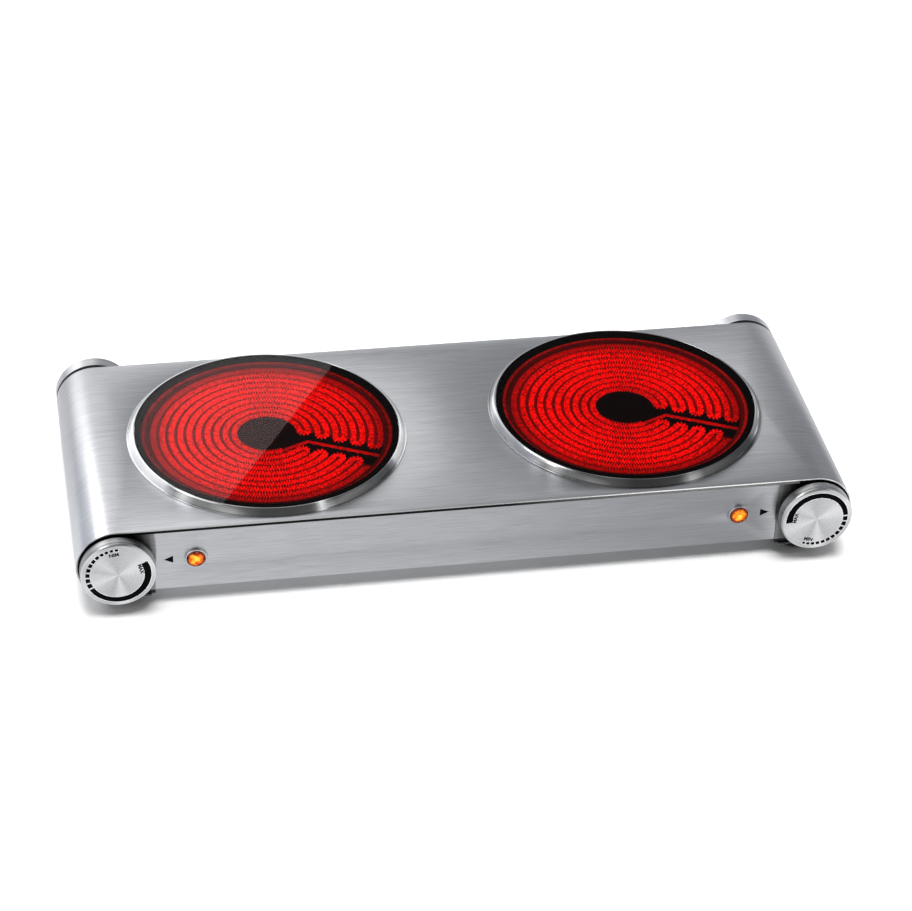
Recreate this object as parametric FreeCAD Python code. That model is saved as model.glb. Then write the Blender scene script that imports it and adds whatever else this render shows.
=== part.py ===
import FreeCAD, Part
import math
import os

# A double infrared hot plate: a long low steel body whose top sheet rolls down at both ends,
# two round ceramic-glass cooking zones, a knob at the front end of each roll, an orange lamp
# and an arrow-marked front panel, and everything inside that makes it heat.
# Millimetres. +Z up, the front faces -Y, left is -X. The origin is the middle of the
# object's own box, on the table.

os.makedirs("parts", exist_ok=True)

V = FreeCAD.Vector
ORIGIN = V(0, 0, 0)
AXIS_X = V(1, 0, 0)
AXIS_Y = V(0, 1, 0)
AXIS_Z = V(0, 0, 1)

# ---------------------------------------------------------------- body sizes
COVER_DEPTH = 194.0        # top sheet, front edge to back edge
COVER_FORWARD = 3.0        # middle of the top sheet in front of the origin
ROLL_CENTRE_X = 235.1      # middle of the object to the axis of each rolled end
ROLL_R = 26.8              # outer radius of each rolled end
SHEET = 1.0                # top sheet
THIN = 0.8                 # panels, base, pans
FOOT_H = 9.0               # table to the underside of the rolls
ROLL_LIP = 22.0            # flat lip that the roll ends in, under the base plate
PANEL_INSET = 1.9          # front and rear panels sit this far inside the top sheet's edges
PANEL_RISE = 2.8           # panels' lower edges above the underside of the base plate
PANEL_END_GAP = 26.6       # roll axis to the end of the flat part of a panel
PANEL_BEND_R = 2.0         # the panels' ends turn inwards with this radius
PANEL_TAIL = 8.0           # flat wall after the bend
PANEL_TOP_LIP = 4.0
PANEL_BOTTOM_LIP = 9.3
BASE_INSET = 13.0          # the base plate's upturned edge, inside the top sheet's edge
BASE_LIP = 9.1             # outward lip under the panels' bottom lips
BASE_SCREW_END = 37.5      # last base screw from the end of the panel's flat part
VENT_START = 60.5          # first vent slot from the middle of the rear panel
VENT_PITCH = 12.0
KNOB_REACH = 10.0          # knob face in front of the top sheet's edge
CAP_REACH = 13.2           # rear cap's outer face behind the top sheet's edge
CAP_GAP = 3.5              # rear cap's open end behind the top sheet's edge
CAP_STEP = 0.2             # rear cap's radius smaller than the roll

# ---------------------------------------------------------------- cooking zones
ZONE_X = 124.7             # middle of the object to each zone's centre
ZONE_BACK = 1.6            # zone centre behind the middle of the top sheet
GLASS_R = 89.6
GLASS_T = 3.0
GLASS_RISE = 4.2           # top of the glass above the top sheet
GLASS_EDGE = 0.4           # chamfer on the glass edge
RING_OUT = 5.4             # trim ring's foot outside the glass
RING_T = 0.6
SEAL_W = 3.5
SEAL_T = 1.0
PAN_IN = 1.6               # pan's outer radius inside the glass radius
PAN_DEPTH = 24.0
RIM_W = 5.0                # insulation ring around the ribbon
RIBBON_DOWN = 0.6          # ribbon's top below the glass
RIBBON_H = 3.5
RIBBON_W = 3.6             # width across the ribbon's waves
RIBBON_R0 = 22.2           # innermost turn
RIBBON_CLEAR = 1.7         # outermost turn to the insulation rim
RIBBON_TURNS = 10
SLOT_HALF = 11.2           # middle of a U-turn to the slot's centre line
SLOT_ANGLE = -26.0         # the slot's direction, seen from above, from +X
LEAD_W = 2.0               # the ribbon's two leads
INNER_LEAD_ANGLE = 37.0    # where the inner turn leaves for the slot
INNER_LEAD_BEND = 4.0
OUTER_LEAD_OFF = 15.0      # end of the outer turn beside the slot's centre line
PIN_R = 0.7
PIN_UP = 1.05              # pin's axis above the insulation bed
BLOCK_L = 26.0             # ceramic terminal block on the pan
BLOCK_W = 12.0
BLOCK_H = 15.0
STRAP_L = 110.0            # bracket that holds the pan up
STRAP_W = 24.0
STRAP_FOOT = 12.0
STRAP_T = 1.0

# ---------------------------------------------------------------- knobs and switches
KNOB_STEP = 2.0            # knob radius smaller than the roll
KNOB_GAP = 1.6             # knob's back in front of the top sheet's edge
KNOB_WALL = 1.2
KNOB_FACE_T = 1.5
KNOB_EDGE_R = 1.4
GROOVE_W = 0.5
GROOVE_D = 0.4
HUB_CLEAR = 1.4            # knob hub to the switch screws' heads
HUB_L = 2.4
SHAFT_R = 3.0
SHAFT_FLAT = 2.2           # D flat from the shaft's axis
SHAFT_FLAT_L = 7.5
PLATE_RECESS = 1.6         # end plates inside the rolls' edges
PLATE_T = 4.0
SWITCH_CLEAR = 1.76        # infinite switch's corners to the inside of the roll
SWITCH_SCREW_IN = 4.8      # switch screws from the switch's sides
SWITCH_DEPTH = 22.0
SWITCH_BORE = 12.0
TAB_L = 6.0
TAB_W = 6.3
TAB_T = 0.8
SPIGOT_WALL = 2.5
SPIGOT_SHORT = 4.5         # spigot's end inside the cap's outer face
CAP_WALL = 1.0

# ---------------------------------------------------------------- lamps
LAMP_X = 51.6              # lamp inside the roll axis
LAMP_UP = 0.5              # lamp above the roll axis
LENS_R = 6.4
BEZEL_R = 7.3
BEZEL_H = 1.4
NECK_R = 5.9
STEM_R = 5.1
LENS_RISE = 3.0
LAMP_L = 22.0
CLIP_R = 8.5
CLIP_T = 0.6

# ---------------------------------------------------------------- feet, screws, wiring
FOOT_R = 9.0
FOOT_TOP_R = 8.0
FOOT_IN = 6.1              # foot inside the roll axis
FOOT_END = 16.5            # foot from the top sheet's front and back edges
SCREW_R = 1.9
SCREW_HEAD_R = 3.5
SCREW_HEAD_H = 1.8
SCREW_L = 5.0
SMALL_R = 1.45
SMALL_HEAD_R = 2.8
BLOCK5_L = 32.0            # mains terminal block
BLOCK5_D = 18.0
BLOCK5_H = 22.0
WAY_PITCH = 6.0
WAY_R = 1.9
WIRE_R = 1.3
LAMP_WIRE_R = 0.8
LAMP_WIRE_DOWN = 3.8       # lamp wires below the lamp's axis
LAMP_WIRE_PITCH = 4.0
WIRE_BEND = 5.0
NEUTRAL_UP = 8.2           # neutral and earth wires above the base plate
WIRE_LEVELS = 6.8          # live and switched wires above the neutral ones
GLAND_BORE_R = 3.7
GLAND_NECK_R = 7.9
GLAND_FLANGE_R = 11.0
GLAND_FLANGE_T = 2.5
GLAND_IN = 9.0
GLAND_UP = 19.0            # gland above the base plate

# ---------------------------------------------------------------- clearances
FIT = 0.1                  # loose seat
SNUG = 0.05                # screw in its hole, running fit of a shaft

# ---------------------------------------------------------------- derived levels
ROLL_Z = FOOT_H + ROLL_R
TOP_Z = FOOT_H + 2 * ROLL_R
UNDER_Z = TOP_Z - SHEET
COVER_Y = -COVER_FORWARD
FRONT_Y = COVER_Y - COVER_DEPTH / 2
BACK_Y = COVER_Y + COVER_DEPTH / 2
ZONE_Y = COVER_Y + ZONE_BACK
PANEL_HALF = ROLL_CENTRE_X - PANEL_END_GAP
PANEL_END = PANEL_HALF + PANEL_BEND_R
BASE_Z = FOOT_H + SHEET
BASE_TOP = BASE_Z + THIN
PANEL_Z = BASE_Z + PANEL_RISE
PANEL_HEIGHT = UNDER_Z - PANEL_Z
GLASS_Z = TOP_Z + GLASS_RISE
GLASS_LOW = GLASS_Z - GLASS_T
LEDGE_Z = GLASS_LOW - SEAL_T
WELL_R = GLASS_R + 0.5
HOLE_R = WELL_R + RING_T + 0.4
RING_R = GLASS_R + RING_OUT
LEDGE_R = GLASS_R - SEAL_W
PAN_TOP = LEDGE_Z - RING_T
PAN_Z = PAN_TOP - PAN_DEPTH
PAN_R = GLASS_R - PAN_IN
RIBBON_TOP = GLASS_LOW - RIBBON_DOWN
RIBBON_Z = RIBBON_TOP - RIBBON_H
RIM_R = LEDGE_R - 0.5
RIBBON_R1 = RIM_R - RIM_W - RIBBON_CLEAR - RIBBON_W / 2
RIBBON_PITCH = (RIBBON_R1 - RIBBON_R0) / (RIBBON_TURNS - 1)
KNOB_R = ROLL_R - KNOB_STEP
CAP_R = ROLL_R - CAP_STEP
KNOB_FACE_Y = FRONT_Y - KNOB_REACH
KNOB_BACK_Y = FRONT_Y - KNOB_GAP
PLATE_Y = FRONT_Y + PLATE_RECESS
SWITCH_Y = PLATE_Y + PLATE_T
SWITCH_BACK = SWITCH_Y + SWITCH_DEPTH
SWITCH_SIDE = math.sqrt(2) * (ROLL_R - SHEET - SWITCH_CLEAR)
SWITCH_SCREW_X = SWITCH_SIDE / 2 - SWITCH_SCREW_IN
HUB_R = SWITCH_SCREW_X - SMALL_HEAD_R - HUB_CLEAR
TAB_Y = SWITCH_BACK + TAB_L
LAMP_CX = ROLL_CENTRE_X - LAMP_X
LAMP_Z = ROLL_Z + LAMP_UP
PANEL_Y = FRONT_Y + PANEL_INSET
REAR_Y = BACK_Y - PANEL_INSET
FOOT_X = ROLL_CENTRE_X - FOOT_IN
GLAND_Z = BASE_TOP + GLAND_UP
NEUTRAL_Z = BASE_TOP + NEUTRAL_UP
LIVE_Z = NEUTRAL_Z + WIRE_LEVELS
LAMP_WIRE_Z = LAMP_Z - LAMP_WIRE_DOWN
BLOCK_ANGLE = SLOT_ANGLE - 5.7
BLOCK_MID_R = PAN_R + BLOCK_W / 2

SIDES = (("left", -1), ("right", 1))


# ---------------------------------------------------------------- helpers
def box(x0, x1, y0, y1, z0, z1):
    low = V(min(x0, x1), min(y0, y1), min(z0, z1))
    return Part.makeBox(abs(x1 - x0), abs(y1 - y0), abs(z1 - z0), low)


def rod(radius, start, end):
    run = end.sub(start)
    return Part.makeCylinder(radius, run.Length, start, run)


def fuse(shapes):
    first = shapes[0]
    for other in shapes[1:]:
        first = first.fuse(other)
    return first.removeSplitter()


def cut(shape, tools):
    for tool in tools:
        shape = shape.cut(tool)
    return shape


def polygon(points):
    return Part.makePolygon(list(points) + [points[0]])


def revolve_z(profile, centre):
    """Turn (radius, height) points about a vertical axis."""
    points = [V(centre.x + r, centre.y, z) for r, z in profile]
    return Part.Face(polygon(points)).revolve(V(centre.x, centre.y, 0), AXIS_Z, 360)


def revolve_y(profile, x, z):
    """Turn (radius, depth) points about an axis that runs front to back."""
    points = [V(x + r, y, z) for r, y in profile]
    return Part.Face(polygon(points)).revolve(V(x, 0, z), AXIS_Y, 360)


def sector(r_mid, width, a0, a1, z, height, centre=ORIGIN):
    """A flat band that follows an arc."""
    angle = a1 - a0
    at = V(centre.x, centre.y, z)
    outer = Part.makeCylinder(r_mid + width / 2, height, at, AXIS_Z, angle)
    inner = Part.makeCylinder(r_mid - width / 2, height, at, AXIS_Z, 360)
    band = outer.cut(inner)
    band.rotate(at, AXIS_Z, a0)
    return band


def strip(start, end, width, z, height):
    """A straight flat band."""
    run = end.sub(start)
    length = run.Length
    piece = Part.makeBox(length, width, height, V(0, -width / 2, 0))
    piece.rotate(ORIGIN, AXIS_Z, math.degrees(math.atan2(run.y, run.x)))
    piece.translate(V(start.x, start.y, z))
    return piece


def wire(points, radius, bend):
    """A round wire along straight runs joined by tangent arcs."""
    edges = []
    at = points[0]
    for before, corner, after in zip(points, points[1:], points[2:]):
        to_before = before.sub(corner).normalize()
        to_after = after.sub(corner).normalize()
        start = corner.add(V(to_before).multiply(bend))
        end = corner.add(V(to_after).multiply(bend))
        centre = start.add(V(to_after).multiply(bend))
        middle = centre.add(corner.sub(centre).normalize().multiply(bend))
        edges.append(Part.LineSegment(at, start).toShape())
        edges.append(Part.Arc(start, middle, end).toShape())
        at = end
    edges.append(Part.LineSegment(at, points[-1]).toShape())
    path = Part.Wire(edges)
    ring = Part.Wire(Part.makeCircle(radius, points[0], points[1].sub(points[0])))
    tube = path.makePipeShell([ring], True, False)
    expected = math.pi * radius ** 2 * path.Length
    if not tube.isValid() or abs(tube.Volume - expected) > 0.02 * expected:
        raise ValueError("wire is not a clean tube")
    return tube


def screw(base, direction, head_r, head_h, radius, length):
    """A pan-head screw: base is the face its head bears on."""
    along = V(direction).normalize()
    head = rod(head_r, base, base.sub(V(along).multiply(head_h)))
    top = base.sub(V(along).multiply(head_h))
    slot = Part.makeBox(2 * head_r, 0.8, 0.6, V(-head_r, -0.4, 0))
    slot.Placement = FreeCAD.Placement(top, FreeCAD.Rotation(AXIS_Z, along))
    shank = rod(radius, base, base.add(V(along).multiply(length)))
    return fuse([head, shank]).cut(slot)


def mirrored(shape):
    return shape.mirror(ORIGIN, AXIS_X)


def for_side(shape, side):
    """Shapes are drawn on the right; the left one is the mirror image."""
    return shape if side > 0 else mirrored(shape)


def group(shapes):
    return Part.makeCompound(shapes)


def save(name, shape):
    if not shape.isValid():
        raise ValueError(name + " is not a valid shape")
    shape.exportStep("parts/" + name + ".step")


# ---------------------------------------------------------------- top sheet
def roll_arc(radius):
    """Half circle round the right-hand roll, from the top down to the lip."""
    top = V(ROLL_CENTRE_X, FRONT_Y, ROLL_Z + radius)
    side = V(ROLL_CENTRE_X + radius, FRONT_Y, ROLL_Z)
    low = V(ROLL_CENTRE_X, FRONT_Y, ROLL_Z - radius)
    return Part.Arc(top, side, low).toShape()


def line(a, b):
    return Part.LineSegment(a, b).toShape()


inner_r = ROLL_R - SHEET
lip_x = ROLL_CENTRE_X - ROLL_LIP
half_profile = Part.Wire([
    line(V(0, FRONT_Y, TOP_Z), V(ROLL_CENTRE_X, FRONT_Y, TOP_Z)),
    roll_arc(ROLL_R),
    line(V(ROLL_CENTRE_X, FRONT_Y, FOOT_H), V(lip_x, FRONT_Y, FOOT_H)),
    line(V(lip_x, FRONT_Y, FOOT_H), V(lip_x, FRONT_Y, BASE_Z)),
    line(V(lip_x, FRONT_Y, BASE_Z), V(ROLL_CENTRE_X, FRONT_Y, BASE_Z)),
    roll_arc(inner_r),
    line(V(ROLL_CENTRE_X, FRONT_Y, UNDER_Z), V(0, FRONT_Y, UNDER_Z)),
    line(V(0, FRONT_Y, UNDER_Z), V(0, FRONT_Y, TOP_Z)),
])
half_cover = Part.Face(half_profile).extrude(V(0, COVER_DEPTH, 0))
cover = fuse([half_cover, mirrored(half_cover)])
zone_centres = {side: V(side * ZONE_X, ZONE_Y, 0) for name, side in SIDES}
foot_points = []
for side in (-1, 1):
    for y in (FRONT_Y + FOOT_END, BACK_Y - FOOT_END):
        foot_points.append(V(side * FOOT_X, y, 0))
cover_cuts = []
for centre in zone_centres.values():
    cover_cuts.append(Part.makeCylinder(HOLE_R, 4, V(centre.x, centre.y, UNDER_Z - 1)))
for point in foot_points:
    cover_cuts.append(Part.makeCylinder(SCREW_R + SNUG, 4, V(point.x, point.y, FOOT_H - 1)))
save("top_cover", cut(cover, cover_cuts))


# ---------------------------------------------------------------- front and rear panels
def panel(face_y, inward):
    """A panel with its ends and its top and bottom edges turned in."""
    def at(x, depth):
        return V(x, face_y + inward * depth, PANEL_Z)

    def bend(side, radius):
        middle = PANEL_BEND_R - radius * math.cos(math.radians(45))
        x = PANEL_HALF + radius * math.sin(math.radians(45))
        start = at(side * PANEL_HALF, PANEL_BEND_R - radius)
        end = at(side * (PANEL_HALF + radius), PANEL_BEND_R)
        return Part.Arc(start, at(side * x, middle), end).toShape()

    inside = PANEL_END - THIN
    tail = PANEL_BEND_R + PANEL_TAIL
    small = PANEL_BEND_R - THIN
    edges = [line(at(-PANEL_HALF, 0), at(PANEL_HALF, 0))]
    edges.append(bend(1, PANEL_BEND_R))
    edges.append(line(at(PANEL_END, PANEL_BEND_R), at(PANEL_END, tail)))
    edges.append(line(at(PANEL_END, tail), at(inside, tail)))
    edges.append(line(at(inside, tail), at(inside, PANEL_BEND_R)))
    edges.append(bend(1, small))
    edges.append(line(at(PANEL_HALF, THIN), at(-PANEL_HALF, THIN)))
    edges.append(bend(-1, small))
    edges.append(line(at(-inside, PANEL_BEND_R), at(-inside, tail)))
    edges.append(line(at(-inside, tail), at(-PANEL_END, tail)))
    edges.append(line(at(-PANEL_END, tail), at(-PANEL_END, PANEL_BEND_R)))
    edges.append(bend(-1, PANEL_BEND_R))
    face = Part.Face(Part.Wire(Part.__sortEdges__(edges)))
    wall = face.extrude(V(0, 0, PANEL_HEIGHT))
    lip_half = PANEL_HALF - 3
    y0 = face_y + inward * THIN / 2
    y_top = face_y + inward * (THIN + PANEL_TOP_LIP)
    y_low = face_y + inward * (THIN + PANEL_BOTTOM_LIP)
    top = box(-lip_half, lip_half, y0, y_top, UNDER_Z - THIN, UNDER_Z)
    low = box(-lip_half, lip_half, y0, y_low, PANEL_Z, PANEL_Z + THIN)
    return fuse([wall, top, low])


base_screw_x = (-PANEL_HALF + BASE_SCREW_END, 0.0, PANEL_HALF - BASE_SCREW_END)
base_screw_y = (PANEL_Y + 6.6, REAR_Y - 6.6)
screw_holes = []
for x in base_screw_x:
    for y in base_screw_y:
        screw_holes.append(Part.makeCylinder(SMALL_R + SNUG, 8, V(x, y, PANEL_Z - 3)))

lamp_holes = []
for name, side in SIDES:
    x = side * LAMP_CX
    lamp_holes.append(rod(NECK_R + FIT, V(x, PANEL_Y - 1, LAMP_Z), V(x, PANEL_Y + 2, LAMP_Z)))
save("front_panel", cut(panel(PANEL_Y, 1), lamp_holes + screw_holes))

vent_z = (UNDER_Z + PANEL_Z) / 2
rear_cuts = [rod(GLAND_NECK_R + FIT, V(0, REAR_Y - 2, GLAND_Z), V(0, REAR_Y + 1, GLAND_Z))]
for side in (-1, 1):
    for step in range(9):
        x = side * (VENT_START + step * VENT_PITCH)
        slot = box(x - 1.5, x + 1.5, REAR_Y - 2, REAR_Y + 1, vent_z - 9, vent_z + 9)
        top = rod(1.5, V(x, REAR_Y - 2, vent_z + 9), V(x, REAR_Y + 1, vent_z + 9))
        low = rod(1.5, V(x, REAR_Y - 2, vent_z - 9), V(x, REAR_Y + 1, vent_z - 9))
        rear_cuts.append(fuse([slot, top, low]))
save("rear_panel", cut(panel(REAR_Y, -1), rear_cuts + screw_holes))

# ---------------------------------------------------------------- base plate
base_front = FRONT_Y + BASE_INSET
base_back = BACK_Y - BASE_INSET
wall_half = PANEL_HALF + 1.5
base = [box(-ROLL_CENTRE_X + 0.6, ROLL_CENTRE_X - 0.6, base_front, base_back, BASE_Z, BASE_TOP)]
for y, out in ((base_front, -1), (base_back, 1)):
    base.append(box(-wall_half, wall_half, y, y - out * THIN, BASE_Z, PANEL_Z))
    base.append(box(-wall_half, wall_half, y - out * THIN, y + out * BASE_LIP, PANEL_Z - THIN, PANEL_Z))
strap_points = []
for centre in zone_centres.values():
    for end in (-1, 1):
        strap_points.append(V(centre.x + end * (STRAP_L / 2 + STRAP_FOOT / 2), centre.y, 0))
block5_y = base_back - 32.0
block5_holes = [V(side * (BLOCK5_L / 2 + 3.5), block5_y + BLOCK5_D / 2, 0) for side in (-1, 1)]
earth_y = block5_y - 22.0
base_cuts = list(screw_holes)
for point in foot_points + strap_points + block5_holes + [V(0, earth_y, 0)]:
    base_cuts.append(Part.makeCylinder(SCREW_R + SNUG, 4, V(point.x, point.y, BASE_Z - 1)))
for centre in zone_centres.values():
    for row in (-1, 1):
        for step in range(-4, 5):
            x = centre.x + step * 14.0
            y = centre.y + row * 45.0
            base_cuts.append(box(x - 2, x + 2, y - 18, y + 18, BASE_Z - 1, BASE_TOP + 1))
save("base_plate", cut(fuse(base), base_cuts))


# ---------------------------------------------------------------- rolled-end plates and caps
def end_plate(y0, y1):
    """Moulded plate that closes the right-hand roll, flush with the panel's end wall."""
    disc = rod(ROLL_R - SHEET - FIT, V(ROLL_CENTRE_X, y0, ROLL_Z), V(ROLL_CENTRE_X, y1, ROLL_Z))
    block = box(PANEL_END, ROLL_CENTRE_X, y0, y1, BASE_Z, UNDER_Z - FIT)
    disc_part = disc.common(box(ROLL_CENTRE_X, ROLL_CENTRE_X + ROLL_R, y0, y1, 0, TOP_Z))
    return fuse([block, disc_part])


shaft_hole = rod(SHAFT_R + 1.0, V(ROLL_CENTRE_X, PLATE_Y - 1, ROLL_Z), V(ROLL_CENTRE_X, SWITCH_Y + 1, ROLL_Z))
plate_cuts = [shaft_hole]
for off in (-SWITCH_SCREW_X, SWITCH_SCREW_X):
    start = V(ROLL_CENTRE_X + off, PLATE_Y - 1, ROLL_Z)
    end = V(ROLL_CENTRE_X + off, SWITCH_Y + 1, ROLL_Z)
    plate_cuts.append(rod(SMALL_R + SNUG, start, end))
front_plate = cut(end_plate(PLATE_Y, SWITCH_Y), plate_cuts)

rear_plate_y = BACK_Y - PLATE_RECESS
spigot_r = CAP_R - CAP_WALL - FIT
spigot_end = V(ROLL_CENTRE_X, BACK_Y + CAP_REACH - SPIGOT_SHORT, ROLL_Z)
spigot_start = V(ROLL_CENTRE_X, rear_plate_y - 0.5, ROLL_Z)
spigot = rod(spigot_r, spigot_start, spigot_end).cut(rod(spigot_r - SPIGOT_WALL, spigot_start, spigot_end))
rear_plate = fuse([end_plate(rear_plate_y - PLATE_T, rear_plate_y), spigot])

cap_front = BACK_Y + CAP_GAP
cap_back = BACK_Y + CAP_REACH
cap_profile = [
    (CAP_R, cap_front),
    (CAP_R, cap_back - 1.2),
    (CAP_R - 0.35, cap_back - 0.35),
    (CAP_R - 1.2, cap_back),
    (0, cap_back),
    (0, cap_back - CAP_WALL),
    (CAP_R - CAP_WALL, cap_back - CAP_WALL),
    (CAP_R - CAP_WALL, cap_front),
]
rear_cap = revolve_y(cap_profile, ROLL_CENTRE_X, ROLL_Z)
for name, side in SIDES:
    save(name + "_front_end_plate", for_side(front_plate, side))
    save(name + "_rear_end_plate", for_side(rear_plate, side))
    save(name + "_rear_cap", for_side(rear_cap, side))


# ---------------------------------------------------------------- knobs
def arc_points(r_mid, y_mid, radius, a0, a1, steps):
    """Points on a small rounding in a (radius, depth) profile."""
    points = []
    for step in range(steps + 1):
        angle = math.radians(a0 + (a1 - a0) * step / steps)
        points.append((r_mid + radius * math.cos(angle), y_mid + radius * math.sin(angle)))
    return points


groove_y = KNOB_FACE_Y + 2.4
cup_r = KNOB_R - KNOB_WALL
knob_profile = [(0, KNOB_FACE_Y)]
knob_profile += arc_points(KNOB_R - KNOB_EDGE_R, KNOB_FACE_Y + KNOB_EDGE_R, KNOB_EDGE_R, -90, 0, 6)
knob_profile += [
    (KNOB_R, groove_y),
    (KNOB_R - GROOVE_D, groove_y),
    (KNOB_R - GROOVE_D, groove_y + GROOVE_W),
    (KNOB_R, groove_y + GROOVE_W),
    (KNOB_R, KNOB_BACK_Y - 0.4),
    (KNOB_R - 0.4, KNOB_BACK_Y),
    (cup_r, KNOB_BACK_Y),
    (cup_r, KNOB_FACE_Y + KNOB_FACE_T),
    (0, KNOB_FACE_Y + KNOB_FACE_T),
]
knob_cap = revolve_y(knob_profile, ROLL_CENTRE_X, ROLL_Z)


def shaft_solid(radius, flat, start_y, end_y):
    """Round shaft with a D flat on the end that the knob sits on."""
    shape = rod(radius, V(ROLL_CENTRE_X, start_y, ROLL_Z), V(ROLL_CENTRE_X, end_y, ROLL_Z))
    flat_end = core_front + 1.5 + SHAFT_FLAT_L
    x0 = ROLL_CENTRE_X - radius
    x1 = ROLL_CENTRE_X + radius
    return shape.cut(box(x0, x1, start_y - 1, flat_end, ROLL_Z + flat, ROLL_Z + radius + 1))


core_front = KNOB_FACE_Y + KNOB_FACE_T
core_back = KNOB_BACK_Y - 0.3
hub_back = core_back + HUB_L
shaft_start = core_front + 1.5
shaft_end = SWITCH_Y + SWITCH_BORE - 0.5
core_disc = rod(cup_r - SNUG, V(ROLL_CENTRE_X, core_front, ROLL_Z), V(ROLL_CENTRE_X, core_back, ROLL_Z))
core_hub = rod(HUB_R, V(ROLL_CENTRE_X, core_back, ROLL_Z), V(ROLL_CENTRE_X, hub_back, ROLL_Z))
core_bore = shaft_solid(SHAFT_R + SNUG, SHAFT_FLAT + SNUG, shaft_start, hub_back + 1)
knob_core = fuse([core_disc, core_hub]).cut(core_bore)
shaft = shaft_solid(SHAFT_R, SHAFT_FLAT, shaft_start, shaft_end)

# ---------------------------------------------------------------- infinite switches
half = SWITCH_SIDE / 2
switch = [box(ROLL_CENTRE_X - half, ROLL_CENTRE_X + half, SWITCH_Y, SWITCH_BACK, ROLL_Z - half, ROLL_Z + half)]
live_x = ROLL_CENTRE_X - 7.0
switched_x = ROLL_CENTRE_X + 7.0
lamp_tab_x = (ROLL_CENTRE_X - half + 3.0, ROLL_CENTRE_X - half + 8.5)
for x in (live_x, switched_x):
    switch.append(box(x - TAB_T / 2, x + TAB_T / 2, SWITCH_BACK, TAB_Y, LIVE_Z - TAB_W / 2, LIVE_Z + TAB_W / 2))
for x in lamp_tab_x:
    low = LAMP_WIRE_Z - 2.2
    switch.append(box(x - TAB_T / 2, x + TAB_T / 2, SWITCH_BACK, TAB_Y, low, low + 4.4))
switch_cuts = [rod(SHAFT_R + SNUG, V(ROLL_CENTRE_X, SWITCH_Y - 1, ROLL_Z), V(ROLL_CENTRE_X, SWITCH_Y + SWITCH_BORE, ROLL_Z))]
switch_screws = []
for off in (-SWITCH_SCREW_X, SWITCH_SCREW_X):
    start = V(ROLL_CENTRE_X + off, SWITCH_Y - 1, ROLL_Z)
    switch_cuts.append(rod(SMALL_R + SNUG, start, start.add(V(0, 8.5, 0))))
    seat = V(ROLL_CENTRE_X + off, PLATE_Y, ROLL_Z)
    switch_screws.append(screw(seat, AXIS_Y, SMALL_HEAD_R, 1.5, SMALL_R, PLATE_T + 6.0))
switch_body = cut(fuse(switch), switch_cuts)
for name, side in SIDES:
    save(name + "_knob_cap", for_side(knob_cap, side))
    save(name + "_knob_core", for_side(knob_core, side))
    save(name + "_knob_shaft", for_side(shaft, side))
    save(name + "_switch", for_side(switch_body, side))
save("switch_screws", group(switch_screws + [mirrored(s) for s in switch_screws]))

# ---------------------------------------------------------------- lamps
bezel_profile = [
    (BEZEL_R - 0.3, PANEL_Y - BEZEL_H),
    (BEZEL_R, PANEL_Y - BEZEL_H + 0.3),
    (BEZEL_R, PANEL_Y),
    (NECK_R, PANEL_Y),
    (NECK_R, PANEL_Y + THIN + 1.0),
    (STEM_R + SNUG, PANEL_Y + THIN + 1.0),
    (STEM_R + SNUG, PANEL_Y - 0.4),
    (LENS_R + SNUG, PANEL_Y - 0.4),
    (LENS_R + SNUG, PANEL_Y - BEZEL_H),
]
bezel = revolve_y(bezel_profile, LAMP_CX, LAMP_Z)


def octagon(radius, y):
    points = []
    for step in range(8):
        angle = math.radians(22.5 + 45 * step)
        points.append(V(LAMP_CX + radius * math.cos(angle), y, LAMP_Z + radius * math.sin(angle)))
    return polygon(points)


lens_y = PANEL_Y - 0.4
lens_base = rod(LENS_R, V(LAMP_CX, lens_y, LAMP_Z), V(LAMP_CX, PANEL_Y - BEZEL_H, LAMP_Z))
crown_low = octagon(LENS_R * 0.98, PANEL_Y - BEZEL_H)
crown_top = octagon(LENS_R * 0.55, PANEL_Y - LENS_RISE)
crown = Part.makeLoft([crown_low, crown_top], True, True)
stem = rod(STEM_R, V(LAMP_CX, PANEL_Y + THIN + 2.0, LAMP_Z), V(LAMP_CX, lens_y, LAMP_Z))
lens = fuse([lens_base, crown, stem])
lamp_back = PANEL_Y + THIN + 2.0 + LAMP_L
lamp_case = rod(STEM_R, V(LAMP_CX, PANEL_Y + THIN + 2.0, LAMP_Z), V(LAMP_CX, lamp_back, LAMP_Z))
clip_y = PANEL_Y + THIN + 1.0
clip = rod(CLIP_R, V(LAMP_CX, clip_y, LAMP_Z), V(LAMP_CX, clip_y + CLIP_T, LAMP_Z))
clip = clip.cut(rod(STEM_R + SNUG, V(LAMP_CX, clip_y - 1, LAMP_Z), V(LAMP_CX, clip_y + 2, LAMP_Z)))
for name, side in SIDES:
    save(name + "_lamp_bezel", for_side(bezel, side))
    save(name + "_lamp_lens", for_side(lens, side))
    save(name + "_lamp_body", for_side(lamp_case, side))
save("lamp_clips", group([clip, mirrored(clip)]))


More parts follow.
